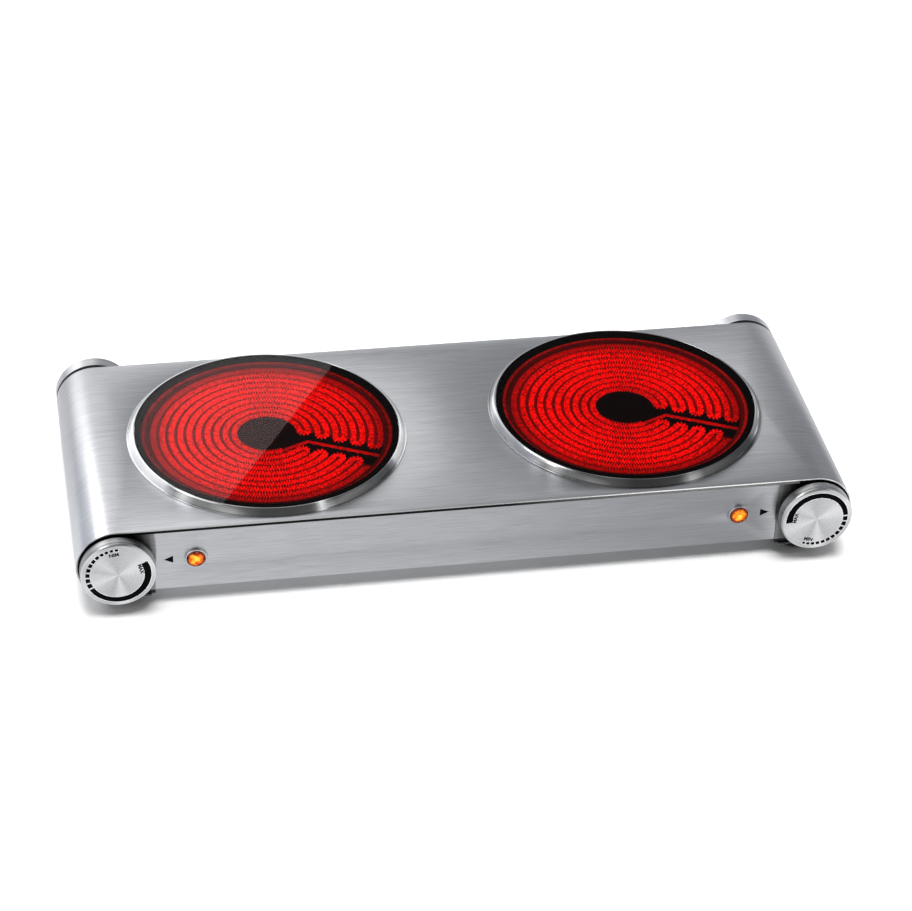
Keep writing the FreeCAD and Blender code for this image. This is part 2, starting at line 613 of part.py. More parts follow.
# ---------------------------------------------------------------- cooking zones
def ribbon_shape(centre):
    """One ribbon: turns joined by U-turns on both sides of a slot, with two leads."""
    radii = [RIBBON_R0 + RIBBON_PITCH * step for step in range(RIBBON_TURNS)]
    last = RIBBON_TURNS - 1
    turn_r = RIBBON_PITCH / 2
    starts = {}
    ends = {}
    pieces = []
    for step in range(last):
        middle = (radii[step] + radii[step + 1]) / 2
        angle = math.degrees(math.asin(SLOT_HALF / middle))
        upper = step % 2 == 0
        at_angle = angle if upper else 360 - angle
        target = starts if upper else ends
        target[step] = at_angle
        target[step + 1] = at_angle
        x = middle * math.cos(math.radians(at_angle))
        y = middle * math.sin(math.radians(at_angle))
        a0 = at_angle - 180 if upper else at_angle
        pieces.append(sector(turn_r, RIBBON_W, a0, a0 + 180, RIBBON_Z, RIBBON_H, V(x, y, 0)))
    ends[0] = 360 - INNER_LEAD_ANGLE
    ends[last] = 360 - math.degrees(math.asin(OUTER_LEAD_OFF / radii[last]))
    for step in range(RIBBON_TURNS):
        pieces.append(sector(radii[step], RIBBON_W, starts[step], ends[step], RIBBON_Z, RIBBON_H))
    lead_angle = math.radians(-INNER_LEAD_ANGLE)
    leave = V(radii[0] * math.cos(lead_angle), radii[0] * math.sin(lead_angle), 0)
    along = V(-math.sin(lead_angle), math.cos(lead_angle), 0)
    corner = leave.add(V(along).multiply(-leave.y / along.y))
    turn = math.radians(90 - INNER_LEAD_ANGLE)
    back = INNER_LEAD_BEND * math.tan(turn / 2)
    start = corner.sub(V(along).multiply(back))
    pieces.append(strip(leave.sub(V(along).multiply(0.3)), start, LEAD_W, RIBBON_Z, RIBBON_H))
    pivot = V(corner.x + back, -INNER_LEAD_BEND, 0)
    a1 = 90 + math.degrees(turn)
    pieces.append(sector(INNER_LEAD_BEND, LEAD_W, 90, a1, RIBBON_Z, RIBBON_H, pivot))
    reach = RIM_R - RIM_W - 0.3
    pieces.append(strip(V(corner.x + back, 0, 0), V(reach, 0, 0), LEAD_W, RIBBON_Z, RIBBON_H))
    end_angle = math.radians(ends[last])
    tail_start = V(radii[last] * math.cos(end_angle), radii[last] * math.sin(end_angle), 0)
    tail_end = V(reach * math.cos(end_angle), reach * math.sin(end_angle), 0)
    tail_in = V(tail_start).multiply(1 - 1.0 / radii[last])
    pieces.append(strip(tail_in, tail_end, LEAD_W, RIBBON_Z, RIBBON_H))
    shape = fuse(pieces)
    pins = []
    for angle in (0.0, end_angle):
        ray = V(math.cos(angle), math.sin(angle), 0)
        start = V(ray).multiply(reach)
        end = V(ray).multiply(PAN_R + 1.5)
        start.z = end.z = RIBBON_Z + PIN_UP
        pins.append(rod(PIN_R, start, end))
    for item in [shape] + pins:
        item.rotate(ORIGIN, AXIS_Z, SLOT_ANGLE)
        item.translate(centre)
    return shape, pins


def terminal_block(centre):
    """Ceramic block on the pan's wall with two tabs under it; returns it and its tab points."""
    low = PAN_TOP - BLOCK_H - 0.6
    body = Part.makeBox(BLOCK_W, BLOCK_L, BLOCK_H, V(PAN_R, -BLOCK_L / 2, low))
    body.rotate(ORIGIN, AXIS_Z, BLOCK_ANGLE)
    body.translate(centre)
    angle = math.radians(BLOCK_ANGLE)
    mid = centre.add(V(BLOCK_MID_R * math.cos(angle), BLOCK_MID_R * math.sin(angle), 0))
    tabs = []
    points = []
    for off in (-4.5, 4.5):
        x = mid.x + off
        tabs.append(box(x - TAB_T / 2, x + TAB_T / 2, mid.y - 3, mid.y + 3, low - TAB_L, low))
        points.append(V(x, mid.y, low - TAB_L))
    return fuse([body] + tabs), points


tab_points = {}
for name, side in SIDES:
    centre = zone_centres[side]
    crown_in = WELL_R + 0.15
    ring_profile = [
        (RING_R, TOP_Z),
        (RING_R, TOP_Z + 0.4),
        (RING_R - 0.2, TOP_Z + 0.6),
        (RING_R - 0.6, TOP_Z + 0.6),
        (RING_R - 0.75, TOP_Z + 0.3),
        (RING_R - 0.95, TOP_Z + 0.75),
        (RING_R - 1.6, TOP_Z + 2.0),
        (RING_R - 2.5, TOP_Z + 3.2),
        (RING_R - 3.4, GLASS_Z - 0.1),
        (WELL_R + 0.9, GLASS_Z + 0.35),
        (crown_in, GLASS_Z + 0.4),
        (WELL_R, GLASS_Z + 0.25),
        (WELL_R, LEDGE_Z),
        (LEDGE_R, LEDGE_Z),
        (LEDGE_R, PAN_TOP),
        (WELL_R + RING_T, PAN_TOP),
        (WELL_R + RING_T, GLASS_Z - 0.35),
        (RING_R - 3.75, GLASS_Z - 0.75),
        (RING_R - 2.9, TOP_Z + 2.75),
        (RING_R - 2.1, TOP_Z + 1.6),
        (RING_R - 1.4, TOP_Z),
    ]
    save(name + "_trim_ring", revolve_z(ring_profile, centre))
    glass_profile = [
        (0, GLASS_LOW),
        (GLASS_R, GLASS_LOW),
        (GLASS_R, GLASS_Z - GLASS_EDGE),
        (GLASS_R - GLASS_EDGE, GLASS_Z),
        (0, GLASS_Z),
    ]
    save(name + "_glass", revolve_z(glass_profile, centre))
    seal_profile = [(LEDGE_R, LEDGE_Z), (GLASS_R, LEDGE_Z), (GLASS_R, GLASS_LOW), (LEDGE_R, GLASS_LOW)]
    save(name + "_glass_seal", revolve_z(seal_profile, centre))

    ribbon, pins = ribbon_shape(centre)
    channels = [pin.copy() for pin in pins]
    pan_profile = [
        (0, PAN_Z),
        (PAN_R, PAN_Z),
        (PAN_R, PAN_TOP),
        (PAN_R - THIN, PAN_TOP),
        (PAN_R - THIN, PAN_Z + THIN),
        (0, PAN_Z + THIN),
    ]
    bed_r = PAN_R - THIN - FIT
    bed_profile = [(0, PAN_Z + THIN), (bed_r, PAN_Z + THIN), (bed_r, RIBBON_Z), (0, RIBBON_Z)]
    rim_profile = [
        (RIM_R - RIM_W, RIBBON_Z),
        (RIM_R, RIBBON_Z),
        (RIM_R, GLASS_LOW),
        (RIM_R - RIM_W, GLASS_LOW),
    ]
    save(name + "_heater_pan", cut(revolve_z(pan_profile, centre), channels))
    save(name + "_insulation_bed", cut(revolve_z(bed_profile, centre), channels))
    save(name + "_insulation_rim", cut(revolve_z(rim_profile, centre), channels))
    save(name + "_heating_ribbon", ribbon)

    block, points = terminal_block(centre)
    save(name + "_heater_block", cut(block, channels))
    save(name + "_heater_pins", group(pins))
    tab_points[side] = points

    x0 = centre.x - STRAP_L / 2
    x1 = centre.x + STRAP_L / 2
    y0 = centre.y - STRAP_W / 2
    y1 = centre.y + STRAP_W / 2
    strap = [box(x0, x1, y0, y1, PAN_Z - STRAP_T, PAN_Z)]
    strap.append(box(x0, x0 + STRAP_T, y0, y1, BASE_TOP, PAN_Z))
    strap.append(box(x1 - STRAP_T, x1, y0, y1, BASE_TOP, PAN_Z))
    strap.append(box(x0 - STRAP_FOOT, x0, y0, y1, BASE_TOP, BASE_TOP + STRAP_T))
    strap.append(box(x1, x1 + STRAP_FOOT, y0, y1, BASE_TOP, BASE_TOP + STRAP_T))
    strap_cuts = []
    for end in (-1, 1):
        at = V(centre.x + end * (STRAP_L / 2 + STRAP_FOOT / 2), centre.y, BASE_TOP - 1)
        strap_cuts.append(Part.makeCylinder(SCREW_R + SNUG, 4, at))
    save(name + "_pan_bracket", cut(fuse(strap), strap_cuts))

# ---------------------------------------------------------------- feet and screws
feet = []
foot_screws = []
recess_h = 3.0
for point in foot_points:
    foot = Part.makeCone(FOOT_R, FOOT_TOP_R, FOOT_H, V(point.x, point.y, 0))
    foot = foot.cut(Part.makeCylinder(SCREW_HEAD_R + 0.6, recess_h, V(point.x, point.y, 0)))
    foot = foot.cut(Part.makeCylinder(SCREW_R + SNUG, FOOT_H, V(point.x, point.y, 0)))
    feet.append(foot)
    seat = V(point.x, point.y, recess_h)
    length = BASE_TOP - recess_h + 2.0
    foot_screws.append(screw(seat, AXIS_Z, SCREW_HEAD_R, SCREW_HEAD_H, SCREW_R, length))
save("feet", group(feet))
save("foot_screws", group(foot_screws))

base_screws = []
for x in base_screw_x:
    for y in base_screw_y:
        seat = V(x, y, PANEL_Z - THIN)
        base_screws.append(screw(seat, AXIS_Z, SMALL_HEAD_R, SCREW_HEAD_H, SMALL_R, SCREW_L))
save("base_screws", group(base_screws))
bracket_screws = []
for point in strap_points:
    seat = V(point.x, point.y, BASE_Z)
    bracket_screws.append(screw(seat, AXIS_Z, SCREW_HEAD_R, SCREW_HEAD_H, SCREW_R, SCREW_L))
save("bracket_screws", group(bracket_screws))

# ---------------------------------------------------------------- mains terminal block
ways = {"left_live": -2, "left_neutral": -1, "earth": 0, "right_neutral": 1, "right_live": 2}
block_top = BASE_TOP + BLOCK5_H
mains = box(-BLOCK5_L / 2, BLOCK5_L / 2, block5_y, block5_y + BLOCK5_D, BASE_TOP, block_top)
mains_ears = box(-BLOCK5_L / 2 - 7, BLOCK5_L / 2 + 7, block5_y + 4, block5_y + BLOCK5_D - 4, BASE_TOP, BASE_TOP + 4)
mains_cuts = []
clamp_screws = []
for way, index in ways.items():
    x = index * WAY_PITCH
    z = LIVE_Z if way.endswith("live") else NEUTRAL_Z
    mains_cuts.append(rod(WAY_R, V(x, block5_y - 1, z), V(x, block5_y + BLOCK5_D + 1, z)))
    y = block5_y + 3.5
    mains_cuts.append(rod(SMALL_R + SNUG, V(x, y, z), V(x, y, block_top + 1)))
    clamp = rod(SMALL_R, V(x, y, z + WIRE_R), V(x, y, block_top))
    clamp_screws.append(clamp.cut(box(x - 2, x + 2, y - 0.4, y + 0.4, block_top - 0.8, block_top + 1)))
for point in block5_holes:
    at = V(point.x, point.y, BASE_TOP - 1)
    mains_cuts.append(Part.makeCylinder(SCREW_R + SNUG, 8, at))
    clamp_screws.append(screw(V(point.x, point.y, BASE_TOP + 4), V(0, 0, -1), 3.0, SCREW_HEAD_H, SCREW_R, 7.0))
save("mains_block", cut(fuse([mains, mains_ears]), mains_cuts))
save("mains_block_screws", group(clamp_screws))

# ---------------------------------------------------------------- earth stud, cord gland
stud_z = BASE_Z - 1.5
stud = Part.makeCylinder(SCREW_R, 12, V(0, earth_y, stud_z))
stud_head = Part.makeCylinder(SCREW_HEAD_R, BASE_Z - stud_z, V(0, earth_y, stud_z))
lug_z = BASE_TOP
nut_z = lug_z + 1.0
nut_points = []
for step in range(6):
    angle = math.radians(60 * step)
    nut_points.append(V(3.9 * math.cos(angle), earth_y + 3.9 * math.sin(angle), nut_z))
nut = Part.Face(polygon(nut_points)).extrude(V(0, 0, 3.0))
nut = nut.cut(Part.makeCylinder(SCREW_R + SNUG, 6, V(0, earth_y, nut_z - 1)))
save("earth_stud", group([fuse([stud, stud_head]), nut]))

gland_profile = [
    (GLAND_BORE_R, REAR_Y + GLAND_FLANGE_T),
    (GLAND_FLANGE_R - 0.8, REAR_Y + GLAND_FLANGE_T),
    (GLAND_FLANGE_R, REAR_Y + GLAND_FLANGE_T - 0.8),
    (GLAND_FLANGE_R, REAR_Y),
    (GLAND_NECK_R, REAR_Y),
    (GLAND_NECK_R, REAR_Y - THIN),
    (GLAND_NECK_R + 1.6, REAR_Y - THIN),
    (GLAND_NECK_R - 0.6, REAR_Y - THIN - 3.5),
    (GLAND_NECK_R - 0.6, REAR_Y - THIN - GLAND_IN),
    (GLAND_BORE_R, REAR_Y - THIN - GLAND_IN),
]
save("cord_gland", revolve_y(gland_profile, 0, GLAND_Z))

# ---------------------------------------------------------------- wiring
cross_y = TAB_Y + 8.4
heater_y = tab_points[1][0].y
in_block = block5_y + 5.5


def live_run(side):
    x = side * 2 * WAY_PITCH
    far = side * live_x
    return [V(x, in_block, LIVE_Z), V(x, cross_y, LIVE_Z), V(far, cross_y, LIVE_Z), V(far, TAB_Y, LIVE_Z)]


def switched_run(side):
    x = side * switched_x
    tab = max(tab_points[side], key=lambda p: p.x * side)
    if side < 0:
        tab = min(tab_points[side], key=lambda p: p.x)
    return [V(x, TAB_Y, LIVE_Z), V(x, heater_y, LIVE_Z), V(tab.x, heater_y, LIVE_Z), tab]


def neutral_run(side):
    x = side * WAY_PITCH
    tab = min(tab_points[side], key=lambda p: p.x * side)
    return [V(x, in_block, NEUTRAL_Z), V(x, heater_y, NEUTRAL_Z), V(tab.x, heater_y, NEUTRAL_Z), tab]


def lamp_runs(side):
    runs = []
    for step, tab_x in enumerate(lamp_tab_x):
        x = side * (LAMP_CX + (0.5 - step) * LAMP_WIRE_PITCH)
        y = TAB_Y + 6.0 + 4.0 * step
        far = side * tab_x
        z = LAMP_WIRE_Z
        runs.append([V(x, lamp_back, z), V(x, y, z), V(far, y, z), V(far, TAB_Y, z)])
    return runs


save("live_wires", group([wire(live_run(side), WIRE_R, WIRE_BEND) for side in (-1, 1)]))
save("switched_wires", group([wire(switched_run(side), WIRE_R, WIRE_BEND) for side in (-1, 1)]))
save("neutral_wires", group([wire(neutral_run(side), WIRE_R, WIRE_BEND) for side in (-1, 1)]))
lamp_wires = []
for side in (-1, 1):
    for run in lamp_runs(side):
        lamp_wires.append(wire(run, LAMP_WIRE_R, 4.0))
save("lamp_wires", group(lamp_wires))
lug_y = earth_y + 6.0
wire_z = lug_z + WIRE_R
earth_run = [
    V(0, in_block, NEUTRAL_Z),
    V(0, earth_y + 14.0, NEUTRAL_Z),
    V(0, earth_y + 14.0, wire_z),
    V(0, lug_y, wire_z),
]
earth_tube = wire(earth_run, WIRE_R, 3.0)
lug = box(-3.6, 3.6, earth_y - 3.6, lug_y + 0.5, lug_z, lug_z + 1.0)
lug = lug.cut(Part.makeCylinder(SCREW_R + SNUG, 4, V(0, earth_y, lug_z - 1)))
save("earth_wire", fuse([earth_tube, lug]))
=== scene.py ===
# %% [markdown]
# # A double hot plate, dressed around its frame
# The frame is the exact model: every sheet, screw and wire of the hot plate, in metres, with the
# middle of the body over the origin.

# %% Load the frame
import math

import bmesh
import bpy
from mathutils import Matrix, Vector


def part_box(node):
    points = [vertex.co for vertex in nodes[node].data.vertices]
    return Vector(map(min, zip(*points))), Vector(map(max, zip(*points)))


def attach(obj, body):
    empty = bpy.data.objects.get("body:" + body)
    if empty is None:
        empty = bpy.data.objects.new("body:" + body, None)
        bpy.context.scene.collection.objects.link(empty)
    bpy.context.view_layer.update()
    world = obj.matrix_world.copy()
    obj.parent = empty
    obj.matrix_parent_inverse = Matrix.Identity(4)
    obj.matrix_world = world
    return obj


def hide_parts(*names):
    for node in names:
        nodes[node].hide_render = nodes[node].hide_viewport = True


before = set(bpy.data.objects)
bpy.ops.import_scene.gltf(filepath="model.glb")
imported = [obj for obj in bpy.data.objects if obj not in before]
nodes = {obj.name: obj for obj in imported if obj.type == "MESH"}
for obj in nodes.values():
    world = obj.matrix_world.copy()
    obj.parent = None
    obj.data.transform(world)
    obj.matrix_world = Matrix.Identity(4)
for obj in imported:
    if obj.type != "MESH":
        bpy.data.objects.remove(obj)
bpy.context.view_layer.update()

# %% [markdown]
# ## The camera
# The camera looks down on the plate from the front, a little from its left, with a long lens that
# keeps the edges nearly parallel. It could be aimed with a Track To constraint, but it is also
# turned slightly about its own axis, so its place and its three turns are written down instead.

# %% Camera
MM = 0.001
scene = bpy.context.scene
bpy.ops.object.camera_add(
    location=(-0.3168, -1.6077, 1.2001),
    rotation=[math.radians(turn) for turn in (54.5044, -1.9202, -10.0211)],
)
camera = bpy.context.object
camera.name = "studio_camera"
camera.data.lens = 114.63
camera.data.sensor_width = 36
scene.camera = camera
scene.view_settings.view_transform = "Standard"
print("camera", tuple(round(value, 3) for value in camera.location), "lens", camera.data.lens)

# %% [markdown]
# ## The studio
# Bare metal shows what stands around it, so the studio matters as much as the steel. A plain white
# room would make the steel flat. Here the room is bright where matt things look at it, and dimmer
# and uneven where polished things look at it: the Light Path node tells the two apart. It starts
# with the floor, a wide disc of white paper just under the feet.

# %% Floor
bpy.ops.object.select_all(action="DESELECT")
bpy.ops.mesh.primitive_circle_add(
    vertices=96, radius=14, fill_type="NGON", location=(0, 0, -0.1 * MM))
floor = bpy.context.object
floor.name = "studio_floor"
print("floor radius", round(floor.dimensions.x / 2, 1), "m")

# %% [markdown]
# ## Helpers for finishes
# A finish is a small tree of nodes. These helpers do what the mouse does in the Shader Editor: add
# a node, type numbers into its sockets and draw the links. `feed` takes either a number or another
# node's socket for each input, so one call can wire a whole node.


# %% Helpers for nodes
def feed(tree, node, values):
    """Sets a node's inputs: a number is typed into its socket, and a socket is linked to it."""
    for label, value in values.items():
        if isinstance(value, bpy.types.NodeSocket):
            tree.links.new(value, node.inputs[label])
        else:
            node.inputs[label].default_value = value
    return node


def add_node(tree, kind, values=(), **settings):
    """Adds a node, chooses its settings and feeds its inputs."""
    node = tree.nodes.new("ShaderNode" + kind)
    for key, value in settings.items():
        setattr(node, key, value)
    return feed(tree, node, dict(values))


def new_material(name):
    """A material; returns it with its tree, its shader and the place in the part's own metres."""
    material = bpy.data.materials.new(name)
    material.use_nodes = True
    tree = material.node_tree
    place = add_node(tree, "TexCoord").outputs["Object"]
    return material, tree, tree.nodes["Principled BSDF"], place


def calculate(tree, operation, *values, clamp=False):
    """A Math node fed with numbers or sockets; returns its result socket."""
    node = add_node(tree, "Math", enumerate(values), operation=operation, use_clamp=clamp)
    return node.outputs[0]


print("node helpers ready")

# %% [markdown]
# Colours, masks and noise are used again and again too. A ramp turns one number into a colour by
# its stops; a product darkens one colour by another, as two sheets of tinted film would.


# %% Helpers for colours
def split_up(tree, vector):
    """The X, Y and Z of a vector."""
    return add_node(tree, "SeparateXYZ", {0: vector}).outputs


def ramp(tree, value, stops, passing="LINEAR"):
    """A colour ramp; stops are (position, grey or colour)."""
    node = add_node(tree, "ValToRGB", {"Fac": value})
    node.color_ramp.interpolation = passing
    marks = node.color_ramp.elements
    while len(marks) < len(stops):
        marks.new(0.5)
    for mark, (position, colour) in zip(marks, stops):
        mark.position = position
        grey = isinstance(colour, (int, float))
        mark.color = (colour, colour, colour, 1) if grey else (*colour, 1)
    return node.outputs["Color"]


def blend(tree, share, first, second, kind="MIX"):
    """A colour that passes from first to second; kind is the Mix node's blend type."""
    values = {0: share, 6: first, 7: second}
    return add_node(tree, "Mix", values, data_type="RGBA", blend_type=kind).outputs[2]


def product(tree, first, second):
    """Two colours, or a grey mask and a colour, multiplied."""
    return blend(tree, 1.0, first, second, "MULTIPLY")


def noise(tree, vector, scale, detail=2.0, rough=0.55):
    """A noise texture's value."""
    values = {"Scale": scale, "Detail": detail, "Roughness": rough, "Vector": vector}
    return add_node(tree, "TexNoise", values).outputs["Fac"]


def choose_by_ray(tree, ray, usual, special):
    """One shader for most rays and another for the rays that the Light Path node names."""
    on_ray = add_node(tree, "LightPath").outputs[ray]
    return add_node(tree, "MixShader", {0: on_ray, 1: usual.outputs[0], 2: special.outputs[0]})


print("colour helpers ready")

# %% [markdown]
# The paper is white where light falls on it. Polished metal sees it dimmer, and dimmest towards the
# right, where a black flag would stand in a real studio.

# %% Floor finish
PAPER_IN_METAL = [
    (0.0, (0.92, 0.93, 0.95)), (0.2, (1.0, 1.01, 1.03)), (0.5, (0.84, 0.845, 0.865)),
    (0.68, (0.60, 0.605, 0.625)), (0.785, (0.48, 0.485, 0.50)), (0.82, (1.02, 1.02, 1.03)),
    (1.0, (1.02, 1.02, 1.03)),
]
paper, tree, shader, place = new_material("studio_paper")
grain = add_node(tree, "TexNoise", {"Scale": 3.0, "Vector": place}).outputs["Fac"]
white = ramp(tree, grain, [(0.3, 0.86), (0.7, 0.88)])
feed(tree, shader, {"Base Color": white, "Roughness": 0.9, "Specular IOR Level": 0.0})
share = calculate(tree, "MULTIPLY_ADD", split_up(tree, place)["X"], 1.4, 0.5, clamp=True)
dim_paper = add_node(tree, "Emission", {"Color": ramp(tree, share, PAPER_IN_METAL)})
seen_paper = choose_by_ray(tree, "Is Glossy Ray", shader, dim_paper)
feed(tree, tree.nodes["Material Output"], {"Surface": seen_paper.outputs[0]})
floor.data.materials.append(paper)
print("paper's mirror image has", len(PAPER_IN_METAL), "tones from left to right")

# %% [markdown]
# The room itself is the World. Polished metal sees a lit left wall, a dark right wall, a ceiling
# that fades to the right and a dim front; matt parts get an even white light, and the camera sees
# plain white beyond the floor's edge. Each ramp runs from the far left to the far right.

# %% Room light
ROOM_FOR_MATT, ROOM_FOR_POLISHED = 0.3, 2.0
WALLS = [
    (0.0, (0.22, 0.23, 0.26)), (0.18, (0.30, 0.31, 0.33)), (0.25, 1.0), (0.31, 1.0), (0.39, 0.56),
    (0.515, 0.56), (0.575, (0.35, 0.355, 0.365)), (0.66, (0.235, 0.24, 0.25)),
    (1.0, (0.19, 0.195, 0.205)),
]
CEILING = [
    (0.0, 0.3), (0.14, 0.8), (0.22, 0.8), (0.42, 0.4), (0.53, 0.38), (0.6, 0.12), (0.8, 0.13),
    (1.0, 0.18),
]
FRONT = [
    (0.0, 0.5), (0.2, 0.5), (0.33, 0.14), (0.6, 0.10), (0.74, 0.12), (0.86, 0.45), (0.95, 0.3),
    (1.0, 0.2),
]
scene.world = bpy.data.worlds.new("studio_room")
scene.world.use_nodes = True
tree = scene.world.node_tree
tree.nodes.clear()
direction = split_up(tree, add_node(tree, "TexCoord").outputs["Generated"])
across = calculate(tree, "MULTIPLY_ADD", direction["X"], 0.5, 0.5)
upward = calculate(tree, "MULTIPLY_ADD", direction["Z"], 5.0, -3.4, clamp=True)
forward = calculate(tree, "MULTIPLY_ADD", direction["Y"], -6.0, 0.3, clamp=True)
shell = blend(tree, upward, ramp(tree, across, WALLS), ramp(tree, across, CEILING))
room = blend(tree, forward, shell, ramp(tree, across, FRONT))
for_polished = add_node(tree, "Background", {"Color": room, "Strength": ROOM_FOR_POLISHED})
for_matt = add_node(tree, "Background", {"Color": (1, 1, 1, 1), "Strength": ROOM_FOR_MATT})
backdrop = add_node(tree, "Background", {"Color": (1, 1, 1, 1)})
lit = choose_by_ray(tree, "Is Glossy Ray", for_matt, for_polished)
lit = choose_by_ray(tree, "Is Camera Ray", lit, backdrop)
add_node(tree, "OutputWorld", {"Surface": lit.outputs[0]})
print("room light for matt surfaces", ROOM_FOR_MATT)

# %% [markdown]
# One big soft box hangs up on the left and draws the bright line along the left roll. Two wide soft
# suns, one leaning to the front and one to the back, light only what is matt: they give the paper
# its white and the plate its soft shadow, and leave the metal's reflections alone.


# %% Soft box and suns
def flat_light(name, at, size, brightness):
    """A rectangular light whose face has the given brightness; the camera doesn't see it."""
    bpy.ops.object.light_add(type="AREA", location=at)
    light = bpy.context.object
    light.name = name
    light.data.shape = "RECTANGLE"
    light.data.size, light.data.size_y = size
    light.data.energy = brightness * math.pi * size[0] * size[1]
    light.visible_camera = False
    return light


def soft_sun(name, tilt, brightness, width):
    """A soft sun that only lights matt surfaces; tilt leans it from front (+) to back (-)."""
    bpy.ops.object.light_add(type="SUN", rotation=(math.radians(tilt), 0, 0))
    sun = bpy.context.object
    sun.name = name
    sun.data.energy = brightness * math.pi
    sun.data.angle = math.radians(width)
    sun.visible_glossy = False
    sun.visible_transmission = False


BODY_MIDDLE = Vector((0, 0, 30)) * MM
key = flat_light("soft_box_left", (-1.35, 0.15, 1.95), (1.2, 0.9), 3.6)
key.rotation_euler = (BODY_MIDDLE - key.location).to_track_quat("-Z", "Y").to_euler()
soft_sun("front_sun", 14, 0.89, 28)
soft_sun("back_sun", -13, 0.46, 26)
print("soft box", tuple(round(v, 2) for v in key.location))

# %% [markdown]
# A slanted white card behind the plate draws the clean milky streak that lies across the left
# glass. Its edge has to fall on the glass as one straight line. A mirror rule gives its place: put
# the camera as far below the glass as it is above it, and look from there through two points of
# the line; where those two sight lines meet the card's plane, its edge passes. A second card, a
# few millimetres wide and much brighter, lies along that edge and gives the streak its crisp rim.

# %% Slanted card
CARD_Y = 2.2
CARD_WIDE, CARD_TALL, CARD_BRIGHTNESS = 0.34, 0.56, 6.3
RIM_WIDE, RIM_BRIGHTNESS = 0.005, 24.0
STREAK_BACK, STREAK_FRONT = Vector((54.2, 70.0, 0)) * MM, Vector((-37.5, -79.2, 0)) * MM
zone_middle = {}
for name in ("left", "right"):
    low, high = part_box(name + "_glass")
    zone_middle[name] = (low + high) / 2
glass_top = high.z
below = camera.location.copy()
below.z = 2 * glass_top - below.z


def seen_on_card(offset):
    """Where the mirrored sight line through a point of the left glass meets the card's plane."""
    point = zone_middle["left"] + offset
    point.z = glass_top
    step = point - below
    return below + step * ((CARD_Y - below.y) / step.y)


edge_low, edge_high = seen_on_card(STREAK_BACK), seen_on_card(STREAK_FRONT)
edge = (edge_high - edge_low).normalized()
side = Vector((edge.z, 0, -edge.x))
if side.x > 0:
    side = -side
card_axes = Matrix((side, edge, side.cross(edge))).transposed()
if card_axes.col[2].y < 0:
    card_axes = Matrix((-side, edge, (-side).cross(edge))).transposed()
glasses = bpy.data.collections.new("lit_by_card")
for name in zone_middle:
    glasses.objects.link(nodes[name + "_glass"])
for name, wide, brightness in (
    ("slanted_card", CARD_WIDE, CARD_BRIGHTNESS), ("card_edge", RIM_WIDE, RIM_BRIGHTNESS),
):
    at = (edge_low + edge_high) / 2 + side * wide / 2
    card = flat_light(name, at, (wide, CARD_TALL), brightness)
    card.rotation_euler = card_axes.to_euler()
    card.light_linking.receiver_collection = glasses
print("card faces", tuple(round(v, 2) for v in -card_axes.col[2]))

# %% [markdown]
# ## Shared surface effects
# Rolled steel, turned steel and moulded plastic each have a grain that many parts share. The grain
# could be painted as a picture, but noise that is stretched in the part's own coordinates has no
# seams and stays sharp from any distance. Each effect is one node group, used in many finishes.


# %% Drawn grain
def new_group(name, inputs, outputs):
    """A shader node group with its sockets; returns it with its input's sockets and its output."""
    group = bpy.data.node_groups.new(name, "ShaderNodeTree")
    for label, kind in inputs:
        group.interface.new_socket(name=label, in_out="INPUT", socket_type="NodeSocket" + kind)
    for label in outputs:
        group.interface.new_socket(name=label, in_out="OUTPUT", socket_type="NodeSocketFloat")
    return group, group.nodes.new("NodeGroupInput").outputs, group.nodes.new("NodeGroupOutput")


drawn_grain, given, result = new_group(
    "drawn_grain", [("Place", "Vector"), ("Grain", "Vector")], ["Tone", "Height", "Smudge"],
)
FINE_SHARE, LONG_SHARE = 0.93, 0.07
fine = noise(drawn_grain, given["Grain"], 1.0, 3.0, 0.7)
long = noise(drawn_grain, given["Grain"], 0.23, 2.0, 0.5)
long = calculate(drawn_grain, "MULTIPLY", long, LONG_SHARE)
mixed = calculate(drawn_grain, "MULTIPLY_ADD", fine, FINE_SHARE, long)
smudge = noise(drawn_grain, given["Place"], 14.0, 3.0, 0.6)
feed(drawn_grain, result, {"Tone": mixed, "Height": fine, "Smudge": smudge})
print("group", drawn_grain.name)

# %% [markdown]
# Turned steel has round grooves about its axis, here the Y axis. Distance from the axis makes the
# rings, and the angle about it picks painted fans, bright painted highlights and dark painted
# shade, from a ramp that closes on itself.

# %% Turned grain
turned_grain, given, result = new_group(
    "turned_grain", [("Place", "Vector")], ["Tone", "Height", "PaintedFans"],
)
PAINTED_FANS = [
    (0.0, 0.62), (0.06, 0.85), (0.12, 0.45), (0.20, 0.25), (0.27, 0.9), (0.33, 0.3), (0.44, 0.5),
    (0.58, 0.95), (0.66, 0.45), (0.78, 0.3), (0.88, 0.7), (0.95, 0.4), (1.0, 0.62),
]
RINGS_PER_METRE, RING_WOBBLE = 1400.0, 1.3
parts = split_up(turned_grain, given["Place"])
flat = add_node(turned_grain, "CombineXYZ", {"X": parts["X"], "Z": parts["Z"]}).outputs[0]
length = add_node(turned_grain, "VectorMath", {0: flat}, operation="LENGTH").outputs["Value"]
outward = add_node(turned_grain, "VectorMath", {0: flat}, operation="NORMALIZE").outputs[0]
ways = split_up(turned_grain, outward)
rings = add_node(turned_grain, "CombineXYZ", {
    "X": calculate(turned_grain, "MULTIPLY", length, RINGS_PER_METRE),
    "Y": calculate(turned_grain, "MULTIPLY", ways["X"], RING_WOBBLE),
    "Z": calculate(turned_grain, "MULTIPLY", ways["Z"], RING_WOBBLE),
}).outputs[0]
turned = noise(turned_grain, rings, 1.0, 2.0, 0.6)
angle = calculate(turned_grain, "ARCTAN2", parts["Z"], parts["X"])
share = calculate(turned_grain, "MULTIPLY_ADD", angle, 0.5 / math.pi, 0.5)
painted_fan_tone = ramp(turned_grain, share, PAINTED_FANS, "EASE")
